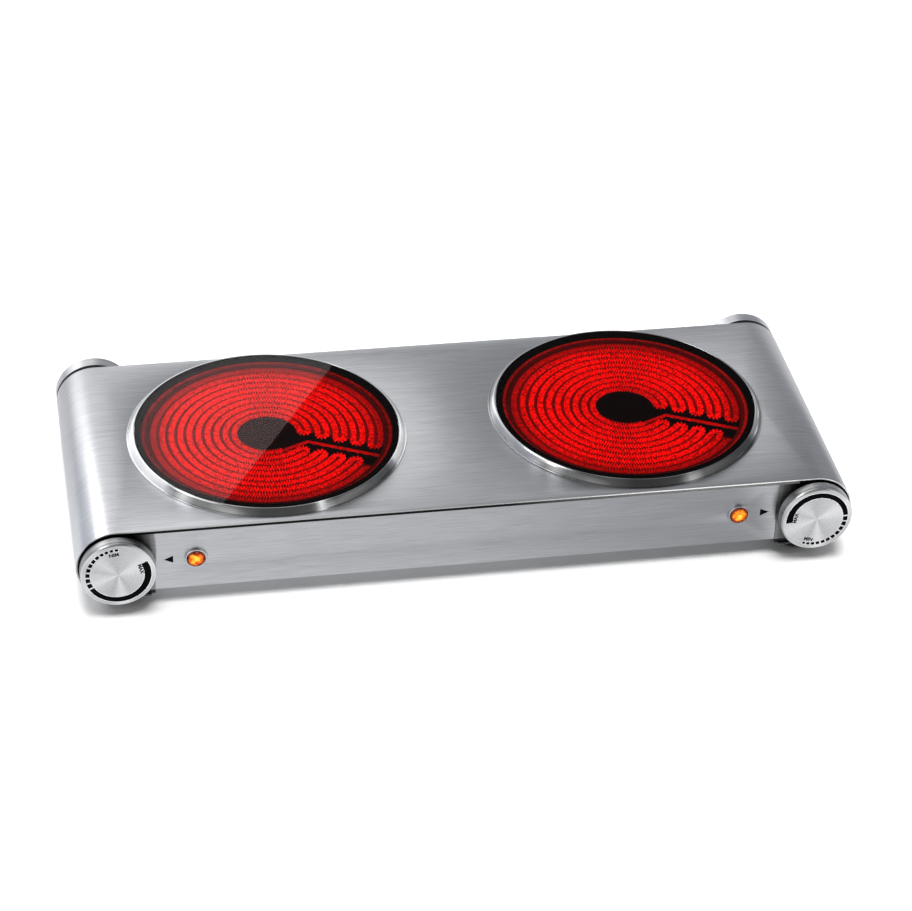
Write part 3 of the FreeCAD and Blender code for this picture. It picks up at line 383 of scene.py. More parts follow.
feed(turned_grain, result, {"Tone": turned, "Height": turned, "PaintedFans": painted_fan_tone})
print("group", turned_grain.name)

# %% [markdown]
# Plastic, rubber and fibre take their fine pits from the mould.

# %% Moulded grain
moulded_grain, given, result = new_group(
    "moulded_grain", [("Place", "Vector"), ("Pitch", "Float")], ["Tone", "Height", "Dust"],
)
pits = add_node(moulded_grain, "TexVoronoi", {"Vector": given["Place"], "Scale": given["Pitch"]})
feed(moulded_grain, result, {
    "Height": pits.outputs["Distance"],
    "Tone": noise(moulded_grain, given["Place"], 60.0, 3.0, 0.6),
    "Dust": noise(moulded_grain, given["Place"], 9.0, 4.0, 0.7),
})
print("group", moulded_grain.name)

# %% [markdown]
# ## Finishes
# Steel is a metal whose colour, roughness and tiny bumps all follow one grain. The grooves run one
# way, so the shine is drawn out across them: the shader's Anisotropic value does that, and its
# Tangent says which way across is. A plain grey with a bump would look like painted card.


# %% Steel finishes
def use_group(tree, group, **inputs):
    """Places a node group in a material and feeds its inputs; returns its outputs."""
    node = tree.nodes.new("ShaderNodeGroup")
    node.node_tree = group
    return feed(tree, node, inputs).outputs


def bump(tree, shader, height, distance):
    """Tiny relief from a height; distance is in metres."""
    node = add_node(tree, "Bump", {"Strength": 1.0, "Distance": distance, "Height": height})
    feed(tree, shader, {"Normal": node.outputs["Normal"]})


def scaled(tree, vector, factors, shift=(0, 0, 0)):
    """Moves a place by minus shift, then stretches it."""
    moved = add_node(tree, "VectorMath", {0: vector, 1: shift}, operation="SUBTRACT").outputs[0]
    return add_node(tree, "Mapping", {"Scale": factors, "Vector": moved}).outputs[0]


def grained(tree, place, factors):
    """The drawn grain, stretched by noise cells per metre along X, Y and Z."""
    return use_group(tree, drawn_grain, Place=place, Grain=scaled(tree, place, factors))


def painted_sheen_and_shade(tree, place, colour):
    """A colour with a painted sheen at the front left and painted shade at the front right."""
    at = split_up(tree, place)
    leftward = calculate(tree, "MULTIPLY_ADD", at["X"], -6.0, -0.2, clamp=True)
    rightward = calculate(tree, "MULTIPLY_ADD", at["X"], 10.0, 0.6, clamp=True)
    left_front = calculate(tree, "MULTIPLY_ADD", at["Y"], -7.0, 0.12, clamp=True)
    right_front = calculate(tree, "MULTIPLY_ADD", at["Y"], -7.0, 0.7, clamp=True)
    painted_sheen_mask = calculate(tree, "MULTIPLY", leftward, left_front)
    painted_shade_mask = calculate(tree, "MULTIPLY", rightward, right_front)
    gain = calculate(tree, "MULTIPLY_ADD", painted_shade_mask, -0.14, 1.0)
    gain = calculate(tree, "MULTIPLY_ADD", painted_sheen_mask, 0.42, gain)
    return add_node(tree, "VectorMath", {0: colour, "Scale": gain}, operation="SCALE").outputs[0]


def drawn_steel(name, dark, light, rough, grain, across, stretch=0.65, with_painted_sheen=False):
    """Steel brushed one way; across is the way that the shine spreads, by stretch. The last flag
    adds a painted sheen at the front left and painted shade at the front right.
    """
    material, tree, shader, place = new_material(name)
    effect = grained(tree, place, grain)
    colour = ramp(tree, effect["Tone"], [(0.36, dark), (0.64, light)])
    wear_and_painted_shade = calculate(tree, "MULTIPLY_ADD", effect["Smudge"], 0.04, rough - 0.055)
    feed(tree, shader, {
        "Base Color": painted_sheen_and_shade(tree, place, colour) if with_painted_sheen else colour,
        "Roughness": calculate(tree, "MULTIPLY_ADD", effect["Tone"], 0.07, wear_and_painted_shade),
        "Metallic": 1.0,
        "Anisotropic": stretch,
        "Tangent": add_node(tree, "CombineXYZ", enumerate(across)).outputs[0],
    })
    bump(tree, shader, effect["Height"], 0.00001)
    return material


def rolled_steel(name, dark, light, rough, grain):
    """Plain rolled sheet without one brushing direction."""
    return drawn_steel(name, dark, light, rough, (grain, grain, grain), (1, 0, 0), stretch=0.0)


SHEET = (0.475, 0.485, 0.505), (0.635, 0.645, 0.665)
PANEL = (0.465, 0.472, 0.49), (0.60, 0.607, 0.622)
# The top sheet gets a painted sheen at its front left and painted shade at its front right.
cover_finish = drawn_steel("top_sheet_steel", *SHEET, 0.33, (42, 1700, 42), (0, 1, 0), with_painted_sheen=True)
panel_finish = drawn_steel("panel_sheet_steel", *PANEL, 0.34, (42, 42, 1800), (0, 0, 1))
cap_finish = drawn_steel("rear_cap_steel", *SHEET, 0.28, (26, 1300, 26), (0, 1, 0))
# The cut edges' brighter steel paints a highlight along each edge.
edge_painted_highlight = rolled_steel("cut_edge_steel", (0.66, 0.665, 0.67), (0.78, 0.785, 0.79), 0.22, 60)
base_finish = rolled_steel("base_sheet_steel", (0.40, 0.41, 0.42), (0.52, 0.53, 0.54), 0.45, 60)
pan_finish = rolled_steel("pan_sheet_steel", (0.42, 0.43, 0.45), (0.55, 0.56, 0.58), 0.4, 90)
print("steel finishes ready")

# %% [markdown]
# On a knob's face the grooves run round, so the shine spreads from the middle outwards; the bright
# and dark fans on the face are painted highlights and painted shade in its colour. On its side wall
# the grooves run round too, and there the shine spreads from front to back. One mask made from the
# surface's own direction tells the face from the wall, and a ramp on that direction paints shade on
# the side wall, a dark line along the rounded front edge and a brighter band where it meets the
# face.

# %% Knob steel
FACE_LIMIT = 0.8
KNOB_PAINTED_EDGE_SHADE = [(0.0, 0.62), (0.12, 0.62), (0.3, 0.22), (0.45, 1.0), (0.93, 1.0), (0.97, 0.86)]
KNOB_TONES = [(0.2, (0.50, 0.505, 0.515)), (0.8, (0.86, 0.865, 0.87))]


def knob_steel(name, centre):
    """Turned steel for a knob whose axis runs front to back through centre."""
    material, tree, shader, place = new_material(name)
    face = use_group(tree, turned_grain, Place=scaled(tree, place, (1, 1, 1), centre))
    wall = grained(tree, place, (30, 900, 30))
    surface = add_node(tree, "NewGeometry").outputs
    facing = calculate(tree, "ABSOLUTE", split_up(tree, surface["Normal"])["Y"])
    on_face = calculate(tree, "GREATER_THAN", facing, FACE_LIMIT)
    soft_rings = calculate(tree, "MULTIPLY_ADD", face["Tone"], 0.4, 0.3)
    centred_painted_fans = calculate(tree, "SUBTRACT", face["PaintedFans"], 0.5)
    rings_and_painted_fans = calculate(tree, "MULTIPLY_ADD", centred_painted_fans, 0.75, soft_rings)
    tones = {0: on_face, 2: wall["Tone"], 3: rings_and_painted_fans}
    tone = add_node(tree, "Mix", tones, data_type="FLOAT").outputs[0]
    moved = add_node(
        tree, "VectorMath", {0: surface["Position"], 1: centre}, operation="SUBTRACT").outputs[0]
    level = add_node(tree, "VectorMath", {0: moved, 1: (1, 0, 1)}, operation="MULTIPLY").outputs[0]
    outward = add_node(tree, "VectorMath", {0: level}, operation="NORMALIZE").outputs[0]
    ways = {0: on_face, 4: (0, 1, 0), 5: outward}
    # Painted shade by the way the surface faces: a darker side wall, a dark line along the rounded
    # front edge and a brighter band where it meets the face.
    painted_edge_shade = ramp(tree, facing, KNOB_PAINTED_EDGE_SHADE)
    feed(tree, shader, {
        "Base Color": product(tree, ramp(tree, tone, KNOB_TONES), painted_edge_shade),
        "Roughness": calculate(tree, "MULTIPLY_ADD", tone, 0.14, 0.19),
        "Metallic": 1.0,
        "Anisotropic": 0.75,
        "Tangent": add_node(tree, "Mix", ways, data_type="VECTOR").outputs[1],
    })
    bump(tree, shader, tone, 0.000003)
    return material


knob_middle, knob_finish = {}, {}
for name in ("left", "right"):
    low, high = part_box(name + "_knob_cap")
    knob_middle[name] = Vector(((low.x + high.x) / 2, low.y, (low.z + high.z) / 2))
    knob_finish[name] = knob_steel(name + "_knob_steel", knob_middle[name])
    print(name, "knob's face at", tuple(round(value, 4) for value in knob_middle[name]))

# %% [markdown]
# The polished parts are smooth steel and chrome with only faint waves and wipe marks.


# %% Polished finishes
def polished(name, colour, rough):
    """Bright polished metal with faint wipe marks."""
    material, tree, shader, place = new_material(name)
    marks = noise(tree, place, 45.0, 4.0, 0.6)
    wiped = tuple(value * 0.94 for value in colour)
    feed(tree, shader, {
        "Base Color": ramp(tree, marks, [(0.3, wiped), (0.7, colour)]),
        "Roughness": calculate(tree, "MULTIPLY_ADD", marks, 0.08, rough - 0.03),
        "Metallic": 1.0,
    })
    bump(tree, shader, noise(tree, place, 160.0, 2.0, 0.5), 0.000004)
    return material


bezel_finish = polished("lamp_bezel_chrome", (0.62, 0.62, 0.64), 0.15)
zinc_finish = polished("screw_zinc_plate", (0.58, 0.60, 0.62), 0.3)
brass_finish = polished("brass", (0.75, 0.55, 0.25), 0.28)
shaft_finish = polished("shaft_bright_steel", (0.62, 0.62, 0.63), 0.25)
print("polished finishes ready")

# %% [markdown]
# The black parts and the insulators have fine pits and a little dust. The print on the knobs is
# nearly the same black with hardly any shine, and it has a pale etched edge.


# %% Moulded finishes
def moulded(name, colour, rough, relief=0.00002, pitch=900.0, dusty=0.06, shine=0.5):
    """Plastic, rubber, print or ceramic with a fine moulded texture and a little dust."""
    material, tree, shader, place = new_material(name)
    effect = use_group(tree, moulded_grain, Place=place, Pitch=pitch)
    light = tuple(min(1.0, value * 1.3 + 0.002) for value in colour)
    feed(tree, shader, {
        "Base Color": ramp(tree, effect["Tone"], [(0.3, colour), (0.75, light)]),
        "Roughness": calculate(tree, "MULTIPLY_ADD", effect["Dust"], dusty * 2, rough - dusty),
        "Specular IOR Level": shine,
    })
    bump(tree, shader, effect["Height"], relief)
    return material


plastic_finish = moulded("black_moulded_plastic", (0.008, 0.008, 0.009), 0.45, shine=0.25)
rubber_finish = moulded("foot_rubber", (0.008, 0.008, 0.008), 0.8, 0.00005, 500.0, shine=0.15)
switch_finish = moulded("switch_plastic", (0.60, 0.58, 0.53), 0.5)
ceramic_finish = moulded("steatite_ceramic", (0.72, 0.68, 0.60), 0.6, 0.00003, 400.0)
fibre_finish = moulded("pressed_fibre", (0.020, 0.021, 0.023), 0.95, 0.00025, 260.0, shine=0.1)
print_finish = moulded("black_print", (0.003, 0.003, 0.0035), 0.65, 0.000004, 2500.0, 0.03, 0.0)
etch_finish = moulded("pale_etch", (0.74, 0.745, 0.75), 0.5, 0.000004, 2500.0, 0.03)
wire_finish = {
    "live_wires": moulded("wire_brown", (0.12, 0.045, 0.02), 0.45),
    "switched_wires": moulded("wire_red", (0.45, 0.02, 0.015), 0.45),
    "neutral_wires": moulded("wire_blue", (0.02, 0.08, 0.40), 0.45),
    "lamp_wires": moulded("wire_white", (0.70, 0.70, 0.68), 0.45),
    "earth_wire": moulded("wire_green_yellow", (0.10, 0.35, 0.05), 0.45),
}
print("moulded finishes ready")

# %% [markdown]
# ## Ceramic glass
# The cooking glass is nearly black, but it lets deep red through. It could be a red emission on a
# disc, but real glass keeps the gloss on top and the glow below apart as the eye moves.

# %% Glass finish
glass_finish, tree, shader, place = new_material("ceramic_glass")
feed(tree, shader, {
    "Base Color": (0.30, 0.010, 0.008, 1),
    "Metallic": 0.0,
    "Transmission Weight": 1.0,
    "IOR": 1.085,
    "Roughness": calculate(tree, "MULTIPLY_ADD", noise(tree, place, 30.0, 4.0, 0.6), 0.008, 0.001),
})
bump(tree, shader, noise(tree, place, 8.0, 1.0, 0.5), 0.000006)
print("glass bends light by", round(shader.inputs["IOR"].default_value, 3))

# %% [markdown]
# ## Glowing alloy
# The ribbon's glow is uneven: the outermost turn is cooler, the innermost a little, and the crimps
# sparkle where their crests come nearest to the glass. The distance from the plate's middle feeds
# the Emission Color; the strength stays one plain number.

# %% Ribbon finish
GLOW_STRENGTH, LEAD_GLOW_STRENGTH = 4.8, 2.2
HEAT = [
    (0.16, 0.45), (0.25, 0.8), (0.4, 1.0), (0.64, 1.0), (0.72, 0.62), (0.755, 0.34), (0.79, 0.24),
]


def from_zone(tree, place):
    """Sideways and front-to-back distance from the nearer cooking zone's middle."""
    at = split_up(tree, place)
    middle = zone_middle["right"]
    x = calculate(tree, "SUBTRACT", calculate(tree, "ABSOLUTE", at["X"]), middle.x)
    x = calculate(tree, "MULTIPLY", x, calculate(tree, "SIGN", at["X"]))
    return x, calculate(tree, "SUBTRACT", at["Y"], middle.y)


def zone_share(tree, place):
    """Distance from the nearer zone's middle in tenths of a metre, for a ramp."""
    x, y = from_zone(tree, place)
    squares = calculate(tree, "MULTIPLY_ADD", x, x, calculate(tree, "MULTIPLY", y, y))
    return calculate(tree, "MULTIPLY", calculate(tree, "SQRT", squares), 10.0, clamp=True)


def speckled(tree, place, stops, scale, rough):
    """Fine bright and dark spots."""
    return ramp(tree, noise(tree, place, scale, 3.0, rough), stops)


def glowing(name, hot, cool, strength):
    """Hot resistance alloy."""
    material, tree, shader, place = new_material(name)
    sparkle = speckled(tree, place, [(0.40, 0.10), (0.61, 1.0)], 560.0, 0.7)
    heat = calculate(tree, "MULTIPLY", ramp(tree, zone_share(tree, place), HEAT), sparkle)
    scale = noise(tree, place, 300.0)
    feed(tree, shader, {
        "Emission Color": ramp(tree, heat, [(0.0, cool), (1.0, hot)]),
        "Emission Strength": strength,
        "Base Color": ramp(tree, scale, [(0.3, (0.10, 0.06, 0.05)), (0.7, (0.2, 0.12, 0.1))]),
        "Metallic": 0.6,
        "Roughness": 0.6,
    })
    return material


ribbon_finish = glowing("glowing_ribbon", (1.0, 0.05, 0.02), (0.07, 0.0, 0.0), GLOW_STRENGTH)
lead_finish = glowing("warm_lead", (1.0, 0.06, 0.02), (0.25, 0.0, 0.0), LEAD_GLOW_STRENGTH)
print("ribbon glows at", GLOW_STRENGTH, "and its leads at", LEAD_GLOW_STRENGTH)

# %% [markdown]
# The fibre under the ribbon has a painted red glow between the turns, standing for the ribbon's
# light on it. It stays black in the middle and in the slot where the leads run, which leans
# towards the front right.


# %% Ember bed
def fibre(name, dark, light, painted_glow, strength):
    """Rough fibre with a painted glow; the glow function, called with tree and place, gives its
    Emission Color.
    """
    material, tree, shader, place = new_material(name)
    mottle = noise(tree, place, 220.0, 3.0, 0.6)
    feed(tree, shader, {
        "Emission Color": painted_glow(tree, place),
        "Emission Strength": strength,
        "Base Color": ramp(tree, mottle, [(0.3, dark), (0.7, light)]),
        "Roughness": 0.95,
        "Specular IOR Level": 0.1,
    })
    bump(tree, shader, noise(tree, place, 260.0, 2.0, 0.6), 0.0002)
    return material


SLOT_TURN = math.radians(-26)
BED_PAINTED_GLOW = [(0.20, 0.0), (0.235, 0.8), (0.5, 1.0), (0.74, 0.7), (0.80, 0.35)]


def painted_bed_glow(tree, place):
    """Painted red glow all over the ring of turns, except in the slot."""
    x, y = from_zone(tree, place)
    lean_x, lean_y = math.cos(SLOT_TURN), math.sin(SLOT_TURN)
    along = calculate(tree, "MULTIPLY_ADD", x, lean_x, calculate(tree, "MULTIPLY", y, lean_y))
    aside = calculate(tree, "MULTIPLY_ADD", x, -lean_y, calculate(tree, "MULTIPLY", y, lean_x))
    aside = calculate(tree, "ABSOLUTE", aside)
    off_slot = calculate(tree, "MULTIPLY_ADD", aside, 500.0, -5.5, clamp=True)
    behind = calculate(tree, "MULTIPLY_ADD", along, -500.0, 0.0, clamp=True)
    outside = calculate(tree, "MAXIMUM", off_slot, behind)
    painted_red = ramp(tree, zone_share(tree, place), BED_PAINTED_GLOW)
    speckle = speckled(tree, place, [(0.36, 0.25), (0.64, 1.0)], 520.0, 0.65)
    painted_red = calculate(tree, "MULTIPLY", calculate(tree, "MULTIPLY", painted_red, speckle), outside)
    return product(tree, painted_red, (1.0, 0.03, 0.025, 1))


BED_GLOW_STRENGTH = 0.85
BED_DARK, BED_LIGHT = (0.007, 0.008, 0.009), (0.013, 0.014, 0.016)
bed_finish = fibre("bed_painted_glow", BED_DARK, BED_LIGHT, painted_bed_glow, BED_GLOW_STRENGTH)
print("bed glows at", BED_GLOW_STRENGTH)

# %% [markdown]
# The pale rim round the bed has a thin red line of painted light just inside the glass's black
# border.

# %% Warm rim
RIM_PAINTED_GLOW = [(0.80, 0.10), (0.825, 0.09), (0.834, 0.46), (0.845, 0.40), (0.853, 0.0)]


def painted_rim_glow(tree, place):
    """A thin red ring of painted light."""
    speckle = speckled(tree, place, [(0.35, 0.4), (0.65, 1.0)], 500.0, 0.6)
    painted_red = product(tree, ramp(tree, zone_share(tree, place), RIM_PAINTED_GLOW), speckle)
    return product(tree, painted_red, (1.0, 0.06, 0.05, 1))


rim_finish = fibre("rim_painted_glow", (0.05, 0.047, 0.045), (0.09, 0.085, 0.08), painted_rim_glow, 1.8)
print("rim's heat peaks", max(heat for at, heat in RIM_PAINTED_GLOW))

# %% [markdown]
# ## Trim rings
# A polished ring shows the room as bright and dark patches round its edge. Here they are painted
# reflections, given by the angle about the ring's middle, so that they stay put on the ring, and
# the brightest are made less metallic so that they come out whiter. The right one is duller, with
# painted shade.

# %% Trim ring finish
RIGHT_RING_PAINTED_SHADE = 0.68
RING_PAINTED_REFLECTIONS = [
    (0.0, 1.0), (0.10, 0.95), (0.117, 0.42), (0.13, 0.8), (0.145, 0.28), (0.162, 0.25),
    (0.194, 0.55), (0.225, 0.26), (0.28, 0.36), (0.294, 1.0), (0.311, 0.24), (0.40, 0.2),
    (0.42, 0.9), (0.475, 0.95), (0.55, 0.7), (0.97, 0.75), (1.0, 1.0),
]
ring_finish, tree, shader, place = new_material("trim_ring_steel")
x, y = from_zone(tree, place)
turn = calculate(tree, "MULTIPLY_ADD", calculate(tree, "ARCTAN2", y, x), 0.5 / math.pi, 0.5)
marks = noise(tree, place, 45.0, 4.0, 0.6)
wiped = ramp(tree, marks, [(0.3, 0.92), (0.7, 1.0)])
tone = calculate(tree, "MULTIPLY", ramp(tree, turn, RING_PAINTED_REFLECTIONS), wiped)
on_right = calculate(tree, "GREATER_THAN", split_up(tree, place)["X"], 0.0)
painted_dimming = calculate(tree, "MULTIPLY_ADD", on_right, RIGHT_RING_PAINTED_SHADE - 1.0, 1.0)
tone = calculate(tree, "MULTIPLY", tone, painted_dimming)
feed(tree, shader, {
    "Base Color": product(tree, tone, (0.86, 0.865, 0.875, 1)),
    "Roughness": calculate(tree, "MULTIPLY_ADD", marks, 0.08, 0.09),
    "Metallic": ramp(tree, tone, [(0.6, 1.0), (0.95, 0.45)]),
})
bump(tree, shader, noise(tree, place, 160.0, 2.0, 0.5), 0.000004)
print("ring tones", len(RING_PAINTED_REFLECTIONS))

# %% [markdown]
# The plates behind the knobs are black where the roll shades them, and fade to brushed grey where
# they meet the front panel, so the panel seems to run on behind the knob.

# %% End plate finish
FADE_WIDE = 16 * MM
PLATE_FADE = [(0.0, 0.30), (0.3, 0.13), (0.6, 0.03), (0.85, 0.005)]
plate_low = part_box("right_front_end_plate")[0]
plate_finish, tree, shader, place = new_material("end_plate_fade")
at = split_up(tree, place)
inward = calculate(tree, "SUBTRACT", calculate(tree, "ABSOLUTE", at["X"]), plate_low.x)
share = calculate(tree, "MULTIPLY", inward, 1 / FADE_WIDE, clamp=True)
effect = grained(tree, place, (18, 18, 1000))
streaks = ramp(tree, effect["Tone"], [(0.36, 0.75), (0.64, 1.0)])
faded = product(tree, ramp(tree, share, PLATE_FADE, "EASE"), streaks)
above_foot = calculate(tree, "MULTIPLY_ADD", at["Z"], 2000.0, -25.0, clamp=True)
bare = ramp(tree, share, [(0.0, 1.0), (0.9, 0.6)])
feed(tree, shader, {
    "Base Color": blend(tree, above_foot, (0.004, 0.004, 0.004, 1), faded),
    "Metallic": calculate(tree, "MULTIPLY", above_foot, bare),
    "Roughness": calculate(tree, "MULTIPLY_ADD", effect["Smudge"], 0.1, 0.36),
    "Specular IOR Level": 0.2,
})
bump(tree, shader, effect["Height"], 0.00001)
print("end plates fade over", round(FADE_WIDE / MM), "mm from x =", round(plate_low.x, 4))

# %% [markdown]
# The top sheet's front edge carries a painted highlight. It stays as grey as the sheet on the left
# and brightens to the right, where it is also made less metallic so that it shows white. The strip
# in the gap under it is black, painted shade, and turns grey on the right as if it took up a
# little of that light.


# %% Front edge and strip finishes
def left_to_right(tree, place):
    """0 at half a metre's left end, 1 at its right."""
    return calculate(tree, "MULTIPLY_ADD", split_up(tree, place)["X"], 2.0, 0.5, clamp=True)


lip_painted_highlight, tree, shader, place = new_material("front_lip_painted_highlight")
share = left_to_right(tree, place)
effect = grained(tree, place, (60, 60, 900))
shine = ramp(tree, share, [(0.0, 0.5), (0.55, 0.55), (0.75, 0.98), (1.0, 1.0)])
feed(tree, shader, {
    "Base Color": product(tree, shine, ramp(tree, effect["Tone"], [(0.36, 0.85), (0.64, 1.0)])),
    "Metallic": ramp(tree, share, [(0.5, 1.0), (0.75, 0.1)]),
    "Roughness": calculate(tree, "MULTIPLY_ADD", effect["Smudge"], 0.1, 0.2),
})
strip_painted_shade, tree, shader, place = new_material("front_strip_painted_shade")
effect = use_group(tree, moulded_grain, Place=place, Pitch=900.0)
wear_and_painted_shade = ramp(tree, left_to_right(tree, place), [(0.55, 0.003), (0.74, 0.20), (0.9, 0.26)])
feed(tree, shader, {
    "Base Color": product(tree, wear_and_painted_shade, ramp(tree, effect["Tone"], [(0.3, 0.85), (0.75, 1.0)])),
    "Roughness": calculate(tree, "MULTIPLY_ADD", effect["Dust"], 0.1, 0.6),
    "Specular IOR Level": 0.1,
})
bump(tree, shader, effect["Height"], 0.00001)
print("edge and strip ready")

# %% [markdown]
# The lamp's lens glows yellow in the middle, through orange to dark red at the rim. Random cells
# break the colours up like the facets of cut plastic.

# %% Lens finish
LENS_GLOW = [
    (0.20, (1.0, 0.62, 0.05)), (0.36, (1.0, 0.30, 0.01)), (0.50, (0.75, 0.09, 0.0)),
    (0.66, (0.20, 0.008, 0.0)), (0.80, (0.05, 0.0, 0.0)),
]
lamp_middle = sum(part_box("right_lamp_lens"), Vector()) / 2
lens_finish, tree, shader, place = new_material("lamp_lens_orange")
at = split_up(tree, place)
x = calculate(tree, "SUBTRACT", calculate(tree, "ABSOLUTE", at["X"]), lamp_middle.x)
z = calculate(tree, "SUBTRACT", at["Z"], lamp_middle.z)
squares = calculate(tree, "MULTIPLY_ADD", x, x, calculate(tree, "MULTIPLY", z, z))
reach = calculate(tree, "MULTIPLY", calculate(tree, "SQRT", squares), 100.0)
cells = add_node(tree, "TexVoronoi", {"Scale": 520.0, "Vector": place}).outputs["Color"]
facet = add_node(tree, "SeparateColor", {0: cells}).outputs[0]
beside, above = (calculate(tree, "ABSOLUTE", way) for way in (x, z))
square = calculate(tree, "MULTIPLY", calculate(tree, "MAXIMUM", beside, above), 92.0)
flicker = calculate(tree, "MULTIPLY_ADD", facet, 0.30, square)
dark_rim = ramp(tree, reach, [(0.40, 1.0), (0.50, 0.45), (0.57, 0.12)])
feed(tree, shader, {
    "Emission Color": product(tree, ramp(tree, flicker, LENS_GLOW), dark_rim),
    "Emission Strength": 1.25,
    "Base Color": ramp(tree, flicker, [(0.2, (0.16, 0.05, 0.01)), (0.8, (0.03, 0.004, 0.002))]),
    "Roughness": 0.12,
    "Specular IOR Level": 0.15,
    "Coat Weight": 0.08,
})
print("lamps at", round(lamp_middle.x / MM, 1), "mm to each side")

# %% [markdown]
# ## Finishes on the frame's own parts
# Most parts already have their exact shape, so they only get a better material in their slot.

# %% Dress the frame
FINISH_OF = {
    "top_cover": cover_finish, "front_panel": panel_finish, "rear_panel": panel_finish,
    "base_plate": base_finish, "feet": rubber_finish, "cord_gland": plastic_finish,
    "mains_block": ceramic_finish, "mains_block_screws": brass_finish, "earth_stud": brass_finish,
    **wire_finish,
}
for name in ("switch_screws", "lamp_clips", "foot_screws", "base_screws", "bracket_screws"):
    FINISH_OF[name] = zinc_finish
PAIRED = {
    "front_end_plate": plate_finish, "rear_end_plate": plastic_finish, "rear_cap": cap_finish,
    "trim_ring": ring_finish, "glass": glass_finish, "glass_seal": fibre_finish,
    "heater_pan": pan_finish, "insulation_bed": fibre_finish, "insulation_rim": rim_finish,
    "heating_ribbon": ribbon_finish, "heater_pins": lead_finish, "heater_block": ceramic_finish,
    "pan_bracket": pan_finish, "switch": switch_finish, "lamp_bezel": bezel_finish,
    "lamp_lens": lens_finish, "lamp_body": plastic_finish, "knob_core": plastic_finish,
    "knob_shaft": shaft_finish,
}
for side_name in ("left", "right"):
    FINISH_OF[side_name + "_knob_cap"] = knob_finish[side_name]
    for part_name, finish in PAIRED.items():
        FINISH_OF[f"{side_name}_{part_name}"] = finish
for name, part in nodes.items():
    for index in range(len(part.data.materials)):
        part.data.materials[index] = FINISH_OF[name]
print("dressed", len(FINISH_OF), "of", len(nodes), "parts")

# %% [markdown]
# ## Helpers for modelling by hand
# Each new piece starts as a primitive and is shaped in edit mode; what repeats is modelled once and
# copied with its own mesh. These helpers do what the mouse would: clear the selection, enter edit
# mode, and pick verts, edges or faces by their place and by the way they face.


# %% Helpers for selecting
def clear_selection():
    """Leaves edit mode with nothing selected."""
    if bpy.context.object and bpy.context.object.mode != "OBJECT":
        bpy.ops.object.mode_set(mode="OBJECT")
    bpy.ops.object.select_all(action="DESELECT")


def edit():
    """Enters edit mode on the active object."""
    bpy.ops.object.mode_set(mode="EDIT")


def pick(kind, test):
    """In edit mode, selects the verts, edges or faces whose middle and normal pass the test."""
    bpy.ops.mesh.select_mode(type={"verts": "VERT", "edges": "EDGE", "faces": "FACE"}[kind])
    bpy.ops.mesh.select_all(action="DESELECT")
    shape = bmesh.from_edit_mesh(bpy.context.object.data)
    picked = 0
    for part in getattr(shape, kind):
        corners = [part] if kind == "verts" else part.verts
        middle = sum((corner.co for corner in corners), Vector()) / len(corners)
        way = part.normal if kind != "edges" else Vector()
        if test(middle, way):
            part.select_set(True)
            picked += 1
    bmesh.update_edit_mesh(bpy.context.object.data)
    return picked


print("selection helpers ready")

# %% [markdown]
# The next helpers shape and close a mesh, and start a bar whose edges are softened.


# %% Helpers for shaping
def pull(x, y, z):
    """Extrudes what is selected and moves it."""
    bpy.ops.mesh.extrude_region_move(TRANSFORM_OT_translate={"value": (x, y, z)})


def face_outward():
    """Turns every face's normal to the outside, and leaves edit mode."""
    bpy.ops.mesh.select_all(action="SELECT")
    bpy.ops.mesh.normals_make_consistent(inside=False)
    bpy.ops.object.mode_set(mode="OBJECT")
    return bpy.context.object


def soft_bar(size, corner, segments):
    """A bar with bevelled edges at the origin."""
    clear_selection()
    bpy.ops.mesh.primitive_cube_add(size=1)
    bpy.ops.transform.resize(value=size)
    bpy.ops.object.transform_apply(scale=True)
    edit()
    bpy.ops.mesh.select_all(action="SELECT")
    bpy.ops.mesh.bevel(offset=corner, segments=segments)
    bpy.ops.object.mode_set(mode="OBJECT")
    return bpy.context.object


print("shaping helpers ready")

# %% [markdown]
# The last helpers put a finished piece where it belongs. Its place goes into its mesh, so that the
# object itself stays at the origin, unturned and unscaled, and follows its body from there.


# %% Helpers for placing
def stand(model, place, turn=(0, 0, 0)):
    """A copy of a model with its own mesh, made active and stood at a place."""
    clear_selection()
    model.select_set(True)
    bpy.context.view_layer.objects.active = model
    bpy.ops.object.duplicate(linked=False)
    copy = bpy.context.object
    copy.location, copy.rotation_euler = place, turn
    return copy


def seat(piece, body, replaced):
    """Puts a piece on its body; it stands for the parts that it replaces, which are hidden."""
    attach(piece, body)
    if replaced:
        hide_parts(*replaced)
    print("made", piece.name, "with", len(piece.data.polygons), "faces")


def keep(name, body, finish, replaced=(), smooth=None):
    """Puts the active object's place into its mesh, gives it its finish and seats it."""
    piece = bpy.context.object
    bpy.ops.object.mode_set(mode="OBJECT")
    bpy.ops.object.transform_apply(location=True, rotation=True, scale=True)
    if smooth is not None:
        bpy.ops.object.shade_smooth_by_angle(angle=math.radians(smooth))
    piece.name = piece.data.name = name
    piece.data.materials.clear()
    piece.data.materials.append(finish)
    seat(piece, body, replaced)


def keep_in_zones(models, replaced=None, smooth=None, turn=0.0):
    """Stands models, given as (model, title, finish, height), in both zones and removes them."""
    for name, middle in zone_middle.items():
        parts = [f"{name}_{replaced}"] if replaced else ()
        for model, title, finish, height in models:
            stand(model, (middle.x, middle.y, height), (0, 0, turn))
            keep(f"{name}_{title}", "chassis", finish, parts, smooth)
    for model, *rest in models:
        bpy.data.objects.remove(model)


print("placing helpers ready")

